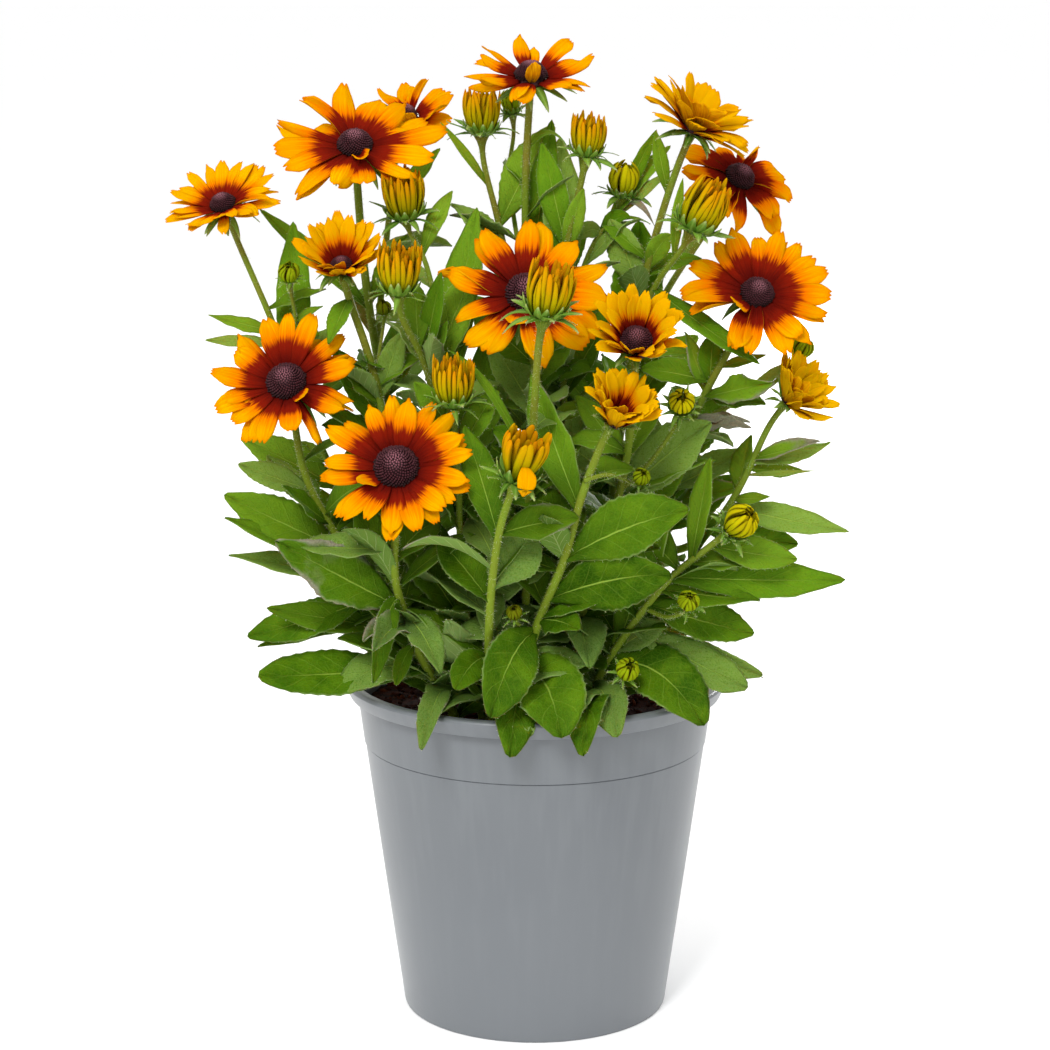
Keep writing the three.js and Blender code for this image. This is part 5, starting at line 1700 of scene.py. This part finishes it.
def vein_group():
    """Veins of a leaf from its place: midrib, side veins that arch to the tip, and the fine net between."""
    tree, given, put = shader_group("veins", {"Side": 0.0, "Along": 0.0}, ("Midrib", "Side veins", "Net"))
    paint = Paint("veins", tree)
    side, along = given["Side"], given["Along"]
    out = paint.size(side)
    taper = paint.ramp(along, 0.0, 1.0, 1.0, 0.45)
    paint.feed(put["Midrib"], paint.ramp(paint.math("DIVIDE", out, taper), 0.015, 0.06, 1, 0))
    shift = paint.times(paint.math("GREATER_THAN", side, 0.0), VEIN_SHIFT)
    arch = paint.times(paint.math("POWER", out, 0.8), VEIN_SLANT)
    slant = paint.plus(paint.minus(paint.times(along, SIDE_VEINS), arch), shift)
    saw = paint.math("FRACT", paint.plus(slant, 3.0))
    ridge = paint.size(paint.minus(saw, 0.5))
    fading = paint.ramp(out, 0.5, 1.0, 1, 0.1)
    paint.feed(put["Side veins"], paint.times(paint.ramp(ridge, 0.42, 0.5), fading))
    net = paint.node(
        "ShaderNodeTexVoronoi", paint.joined(side, paint.times(along, 4.0), 0.0), feature="DISTANCE_TO_EDGE"
    )
    paint.feed(put["Net"], paint.ramp(paint.fitted(net, Scale=8.0)["Distance"], 0.0, 0.14, 1, 0))
    return tree


MOTTLE = mottle_group()
VEINS = vein_group()


def pot_paint():
    """Grey moulded plastic: satin, with faint upright flow marks, soft patches and fine scuffs, paler towards
    its foot, and with painted shade on its inside below the rim.
    """
    paint = Paint("grey_pot_plastic")
    patches, fine = paint.group(MOTTLE, Size=14.0, Grain=2600.0)
    x, y, z = paint.split(paint.where())
    flow = paint.joined(paint.times(x, 160), paint.times(y, 160), paint.times(z, 4))
    colour = paint.mix(paint.times(patches, 0.35), "#62666a", "#6a6e71")
    colour = paint.mix(paint.ramp(paint.noise(flow, 1.0, 3), 0.4, 0.7, 0, 0.35), colour, "#6e7275")
    # paler towards the foot of the pot
    colour = paint.mix(paint.ramp(z, 0.0, 0.13, 0.8, 0), colour, "#6d7175")
    # painted shade on the inside of the pot below its rim
    reach = paint.math("SQRT", paint.plus(paint.times(x, x), paint.times(y, y)))
    wall = paint.plus(paint.times(z, POT_FLARE), (POT_BASE_RADIUS - POT_WALL / 2) * MM)
    inside = paint.times(
        paint.math("LESS_THAN", reach, wall), paint.ramp(z, POT_HEIGHT * MM, (POT_HEIGHT - 3) * MM, 0.0, 0.75)
    )
    colour = paint.mix(inside, colour, "#2b3036")
    rough = paint.plus(paint.ramp(patches, 0.0, 1.0, 0.28, 0.34), paint.times(fine, 0.05))
    return paint.finish(colour, rough, paint.bump(fine, 0.08, 0.0002), Specular_IOR_Level=0.45)


def soil_paint():
    """Moist potting soil: dark crumbs, reddish bark and a few pale fibres."""
    paint = Paint("potting_soil")
    patches, fine = paint.group(MOTTLE, Size=260.0, Grain=1400.0)
    one, two, _ = paint.attribute("look")
    colour = paint.mix(patches, "#220c05", "#451a0b")
    colour = paint.mix(paint.ramp(two, 0.45, 0.9, 0, 0.8), colour, "#6d2f14")
    colour = paint.mix(paint.ramp(fine, 0.6, 0.78), colour, "#87502c")
    colour = paint.mix(paint.ramp(one, 0.975, 0.99, 0, 0.8), colour, "#a08a6a")
    return paint.finish(colour, 0.92, paint.bump(fine, 0.9, 0.0012), Specular_IOR_Level=0.15)


def stalk_paint():
    """Ribbed green stalk, ruddy in patches and towards the top."""
    paint = Paint("stalk")
    across, _, _ = paint.attribute("place")
    patches, fine = paint.group(MOTTLE, Size=60.0, Grain=900.0)
    height = paint.split(paint.where())[2]
    colour = paint.mix(paint.ramp(height, 0.16, 0.34), "#718a1e", "#5c7412")
    ruddy = paint.times(patches, paint.ramp(height, 0.2, 0.42, 0.1, 0.65))
    colour = paint.mix(ruddy, colour, "#6c5018")
    colour = paint.mix(paint.ramp(fine, 0.5, 0.8, 0, 0.3), colour, "#94a44c")
    ribs = paint.math("SINE", paint.times(across, 22.0))
    colour = paint.mix(paint.ramp(ribs, 0.2, 0.9, 0, 0.3), colour, "#a0a832")
    return paint.finish(
        colour, 0.6, paint.bump(paint.plus(ribs, fine), 0.35, 0.0003),
        Subsurface_Weight=0.1, Subsurface_Scale=0.001, Specular_IOR_Level=0.15,
    )


def leaf_face(paint, tone, light, along, fine, patches):
    """The green of a leaf's face between its veins: from painted shade to painted light by its light value,
    darker low on the leaf, and downy on some.
    """
    # Painted shade and painted light: deep is the shaded green, bright the lit one, and light chooses between
    # them.
    deep = paint.mix(tone, "#1b3a00", "#3c6002")
    bright = paint.mix(tone, "#4c7808", "#82a42a")
    green = paint.mix(light, deep, bright)
    green = paint.mix(paint.times(patches, 0.35), green, "#688a10")
    green = paint.mix(paint.ramp(along, 0.0, 0.5, 0.55, 0), green, "#1a3800")
    downy = paint.times(paint.math("GREATER_THAN", tone, 0.74), paint.ramp(fine, 0.3, 0.7, 0.2, 0.42))
    green = paint.mix(downy, green, "#7c9058")
    return paint.mix(paint.ramp(fine, 0.45, 0.3, 0, 0.35), green, "#173802")


def leaf_paint():
    """Leaf: pale veins on a mottled green face, paler below, with a silvery edge.
    An old one turns grey-purple and brown from its edge and tip."""
    paint = Paint("leaf")
    side, along, under = paint.attribute("place")
    tone, age, light = paint.attribute("look")
    patches, fine = paint.group(MOTTLE, Size=75.0, Grain=1300.0)
    midrib, veins, net = paint.group(VEINS, Side=side, Along=along)
    out = paint.size(side)
    green = leaf_face(paint, tone, light, along, fine, patches)
    green = paint.mix(paint.times(net, 0.1), green, "#7c9e30")
    green = paint.mix(paint.times(veins, 0.18), green, "#86a838")
    green = paint.mix(paint.times(midrib, paint.ramp(along, 0.45, 0.95, 0.6, 0.1)), green, "#9cb848")
    green = paint.mix(paint.ramp(out, 0.92, 1.0, 0, 0.3), green, "#98ab6c")
    below = paint.mix(tone, "#5e7c30", "#7c9450")
    below = paint.mix(paint.times(paint.math("MAXIMUM", veins, midrib), 0.7), below, "#a0b26c")
    colour = paint.mix(under, green, below)
    inward = paint.plus(paint.times(along, 0.2), paint.times(patches, 0.3))
    spread = paint.plus(paint.times(paint.math("POWER", out, 3.0), 0.35), inward)
    old = paint.ramp(paint.plus(spread, age), 0.95, 1.25, 0, 0.9)
    colour = paint.mix(old, colour, paint.mix(fine, "#5a4a4c", "#a0a184"))
    sunk = paint.plus(paint.times(veins, 0.8), paint.times(net, 0.35))
    relief = paint.minus(paint.times(fine, 0.5), paint.plus(sunk, midrib))
    return paint.finish(
        colour, paint.ramp(fine, 0.2, 0.8, 0.45, 0.65), paint.bump(relief, 0.7, 0.0005),
        Subsurface_Weight=0.15, Subsurface_Scale=0.0015, Specular_IOR_Level=0.03,
    )


def sepal_paint():
    """Sepal: green, paler along its middle and at its tip."""
    paint = Paint("sepal")
    side, along, _ = paint.attribute("place")
    tone, _, _ = paint.attribute("look")
    _, fine = paint.group(MOTTLE, Size=200.0, Grain=2000.0)
    colour = paint.mix(tone, "#486c16", "#6c8c2c")
    colour = paint.mix(paint.ramp(paint.size(side), 0.0, 0.4, 0.4, 0), colour, "#88a648")
    colour = paint.mix(paint.ramp(along, 0.7, 1.0, 0, 0.7), colour, "#a2a86c")
    return paint.finish(
        colour, 0.6, paint.bump(fine, 0.3, 0.0003),
        Subsurface_Weight=0.15, Subsurface_Scale=0.001, Specular_IOR_Level=0.15,
    )


def hair_paint():
    paint = Paint("hair")
    patches, _ = paint.group(MOTTLE, Size=120.0, Grain=2000.0)
    return paint.finish(paint.mix(patches, "#bcc88a", "#e2e6c2"), 0.5, Specular_IOR_Level=0.2)


def bud_paint():
    """Rolled florets: olive at the foot, golden above, orange at the tips, with dark olive painted shade
    along their sides where they fold together and on the inner rings. Young is 0 in an open bud, 1 in a
    closed one, 2 in a small one that is greener, and 3 in the smallest, which is dull."""
    paint = Paint("bud_floret")
    side, along, _ = paint.attribute("place")
    tone, ring, young = paint.attribute("look")
    streak = paint.noise(paint.joined(paint.times(side, 4.0), along, paint.times(tone, 9.0)), 3.0, 2)
    reach = paint.plus(along, paint.times(paint.minus(streak, 0.5), 0.5))
    colour = paint.mix(paint.ramp(reach, 0.05, 0.5), "#56700a", "#9e8804")
    colour = paint.mix(paint.ramp(reach, 0.45, 0.85), colour, "#bc8204")
    colour = paint.mix(paint.ramp(reach, 0.85, 1.1, 0, 0.6), colour, "#bc5c04")
    colour = paint.mix(paint.ramp(tone, 0.3, 1.0, 0, 0.4), colour, "#a09a06")
    closed = paint.mix(tone, "#90960a", "#b4b00a")
    closed = paint.mix(paint.ramp(young, 1.0, 2.0, 0, 0.8), closed, "#66860e")
    closed = paint.mix(paint.ramp(young, 2.0, 3.0, 0, 0.75), closed, "#3f4f0c")
    colour = paint.mix(paint.ramp(young, 0.0, 1.0, 0, 0.75), colour, closed)
    colour = paint.mix(paint.ramp(young, 1.0, 2.0, 0, 0.7), colour, closed)
    # painted shade along the sides of each floret, where it meets the next
    colour = paint.mix(paint.ramp(paint.size(side), 0.45, 0.95, 0, 0.8), colour, "#4f4606")
    # painted shade on the inner rings of florets
    colour = paint.mix(paint.times(ring, 0.6), colour, "#4a3006")
    return paint.finish(
        colour, 0.55, paint.bump(streak, 0.3, 0.0003),
        Subsurface_Weight=0.15, Subsurface_Scale=0.001, Specular_IOR_Level=0.0,
    )


def ray_paint():
    """Ray: dark red at the foot, flamed into orange and gold. Its underside is dull, with brown streaks."""
    paint = Paint("ray")
    side, along, under = paint.attribute("place")
    tone, red, yellow = paint.attribute("look")
    lengthwise = paint.joined(paint.times(side, 3.2), paint.times(along, 0.7), paint.times(tone, 40.0))
    streak = paint.noise(lengthwise, 2.2, 3, 0.6)
    flame = paint.plus(along, paint.times(paint.minus(streak, 0.5), 0.4))
    flame = paint.minus(flame, red)
    gold = paint.mix(tone, "#ca8c00", "#d69e00")
    gold = paint.mix(paint.ramp(streak, 0.35, 0.7, 0.45, 0), gold, "#cc7400")
    tipward = paint.plus(along, paint.times(streak, 0.12))
    gold = paint.mix(paint.ramp(tipward, 0.93, 1.1, 0, 0.6), gold, "#cc5c00")
    gold = paint.mix(paint.times(yellow, 0.85), gold, "#d2a404")
    glow = paint.node("ShaderNodeMapRange", flame, 0.0, paint.times(red, 0.6), 0.85, 0.0).outputs[0]
    gold = paint.mix(glow, gold, "#d05a00")
    colour = paint.mix(paint.ramp(flame, -0.09, 0.07), "#701608", gold)
    colour = paint.mix(paint.ramp(flame, -0.4, -0.1, 0.85, 0), colour, "#4a0b08")
    dull = paint.mix(paint.ramp(streak, 0.4, 0.6), "#b87606", "#dca206")
    dull = paint.mix(paint.times(yellow, 0.5), dull, "#cca006")
    dull = paint.mix(paint.ramp(along, 0.0, 0.5, 0.7, 0), dull, "#84500c")
    colour = paint.mix(paint.times(under, 0.85), colour, dull)
    fine = paint.noise(paint.joined(paint.times(side, 14.0), along, tone), 3.0, 2)
    return paint.finish(
        colour, paint.ramp(fine, 0.3, 0.7, 0.5, 0.65), paint.bump(fine, 0.4, 0.0004),
        Subsurface_Weight=0.15, Subsurface_Scale=0.0015, Specular_IOR_Level=0.0,
    )


def cone_paint():
    """Cone florets: purple-brown, paler at their tips, with a painted highlight over the middle of the cone.
    """
    paint = Paint("cone_floret")
    _, up, _ = paint.attribute("place")
    tone, share, _ = paint.attribute("look")
    colour = paint.mix(tone, "#240c10", "#3a161c")
    # painted highlight over the middle of the cone
    colour = paint.mix(paint.ramp(share, 0.05, 0.52, 0.9, 0), colour, "#9a646e")
    colour = paint.mix(paint.ramp(up, 0.9, 1.3, 0, 0.3), colour, "#5e2e36")
    colour = paint.mix(paint.ramp(share, 0.7, 1.0, 0, 0.9), colour, "#160504")
    return paint.finish(colour, 0.6, Specular_IOR_Level=0.2)


# Everything in its place

plastic, earth = pot_paint(), soil_paint()
stalk, leaf, sepal, hair = stalk_paint(), leaf_paint(), sepal_paint(), hair_paint()
ray, dark, golden = ray_paint(), cone_paint(), bud_paint()

pot_piece(plastic)
soil_piece(earth)
for number, (name, shoots) in enumerate(STEMS.items()):
    stem_piece(name, shoots, number, [stalk, leaf, sepal, hair, golden])
for number, (name, flower) in enumerate(FLOWERS.items()):
    rays_piece(name, flower, number, ray)
    cone_piece(name, flower, number, dark)
for number, (name, bud) in enumerate(BUDS.items()):
    bud_piece(name, bud, number, [golden, ray] if name in LOOSE else [golden])


# Floor, light and camera

FLOOR_SIZE = 60  # metres, like the places and sizes of the lights and the camera's place
SKY_STRENGTH = 1.02
KEY_LIGHT = {"spot": (-0.55, -1.6, 1.75), "target": (0, 0, 0.28), "size": (0.7, 0.7), "power": 37}
EDGE_LIGHT = {"spot": (1.05, 2.5, 0.5), "target": (0.08, 0, 0.1), "size": (0.3, 0.8), "power": 45}
SENSOR_WIDTH = 36
LENS = 100.1
CAMERA_AT = (-0.005, -1.4067, 0.537)


def soft_box(name, spot, target, size, power):
    light = bpy.data.lights.new(name, "AREA")
    light.shape = "RECTANGLE"
    light.size, light.size_y = size
    light.energy = power
    lamp = bpy.data.objects.new(name, light)
    lamp.location = spot
    lamp.rotation_euler = (Vector(target) - Vector(spot)).to_track_quat("-Z", "Y").to_euler()
    bpy.context.scene.collection.objects.link(lamp)


def studio():
    """A pale floor under a white sky, a soft key light from the front and a low one from behind."""
    bpy.ops.mesh.primitive_plane_add(size=FLOOR_SIZE)
    floor = bpy.context.object
    floor.name = "floor"
    floor.data.materials.append(Paint("floor").finish("#fdfdfd", 0.7, Specular_IOR_Level=0.1))
    world = bpy.data.worlds.new("studio")
    world.use_nodes = True
    sky = world.node_tree.nodes["Background"].inputs
    sky["Color"].default_value = (1, 1, 1, 1)
    sky["Strength"].default_value = SKY_STRENGTH
    bpy.context.scene.world = world
    soft_box("key", **KEY_LIGHT)
    soft_box("edge", **EDGE_LIGHT)


def photo_camera():
    data = bpy.data.cameras.new("photo_camera")
    data.sensor_width = SENSOR_WIDTH
    data.lens = LENS
    camera = bpy.data.objects.new("photo_camera", data)
    camera.location = CAMERA_AT
    camera.rotation_euler = (math.radians(90 - CAMERA_PITCH), 0, 0)
    bpy.context.scene.collection.objects.link(camera)
    bpy.context.scene.camera = camera


studio()
photo_camera()
bpy.context.scene.view_settings.view_transform = "Standard"
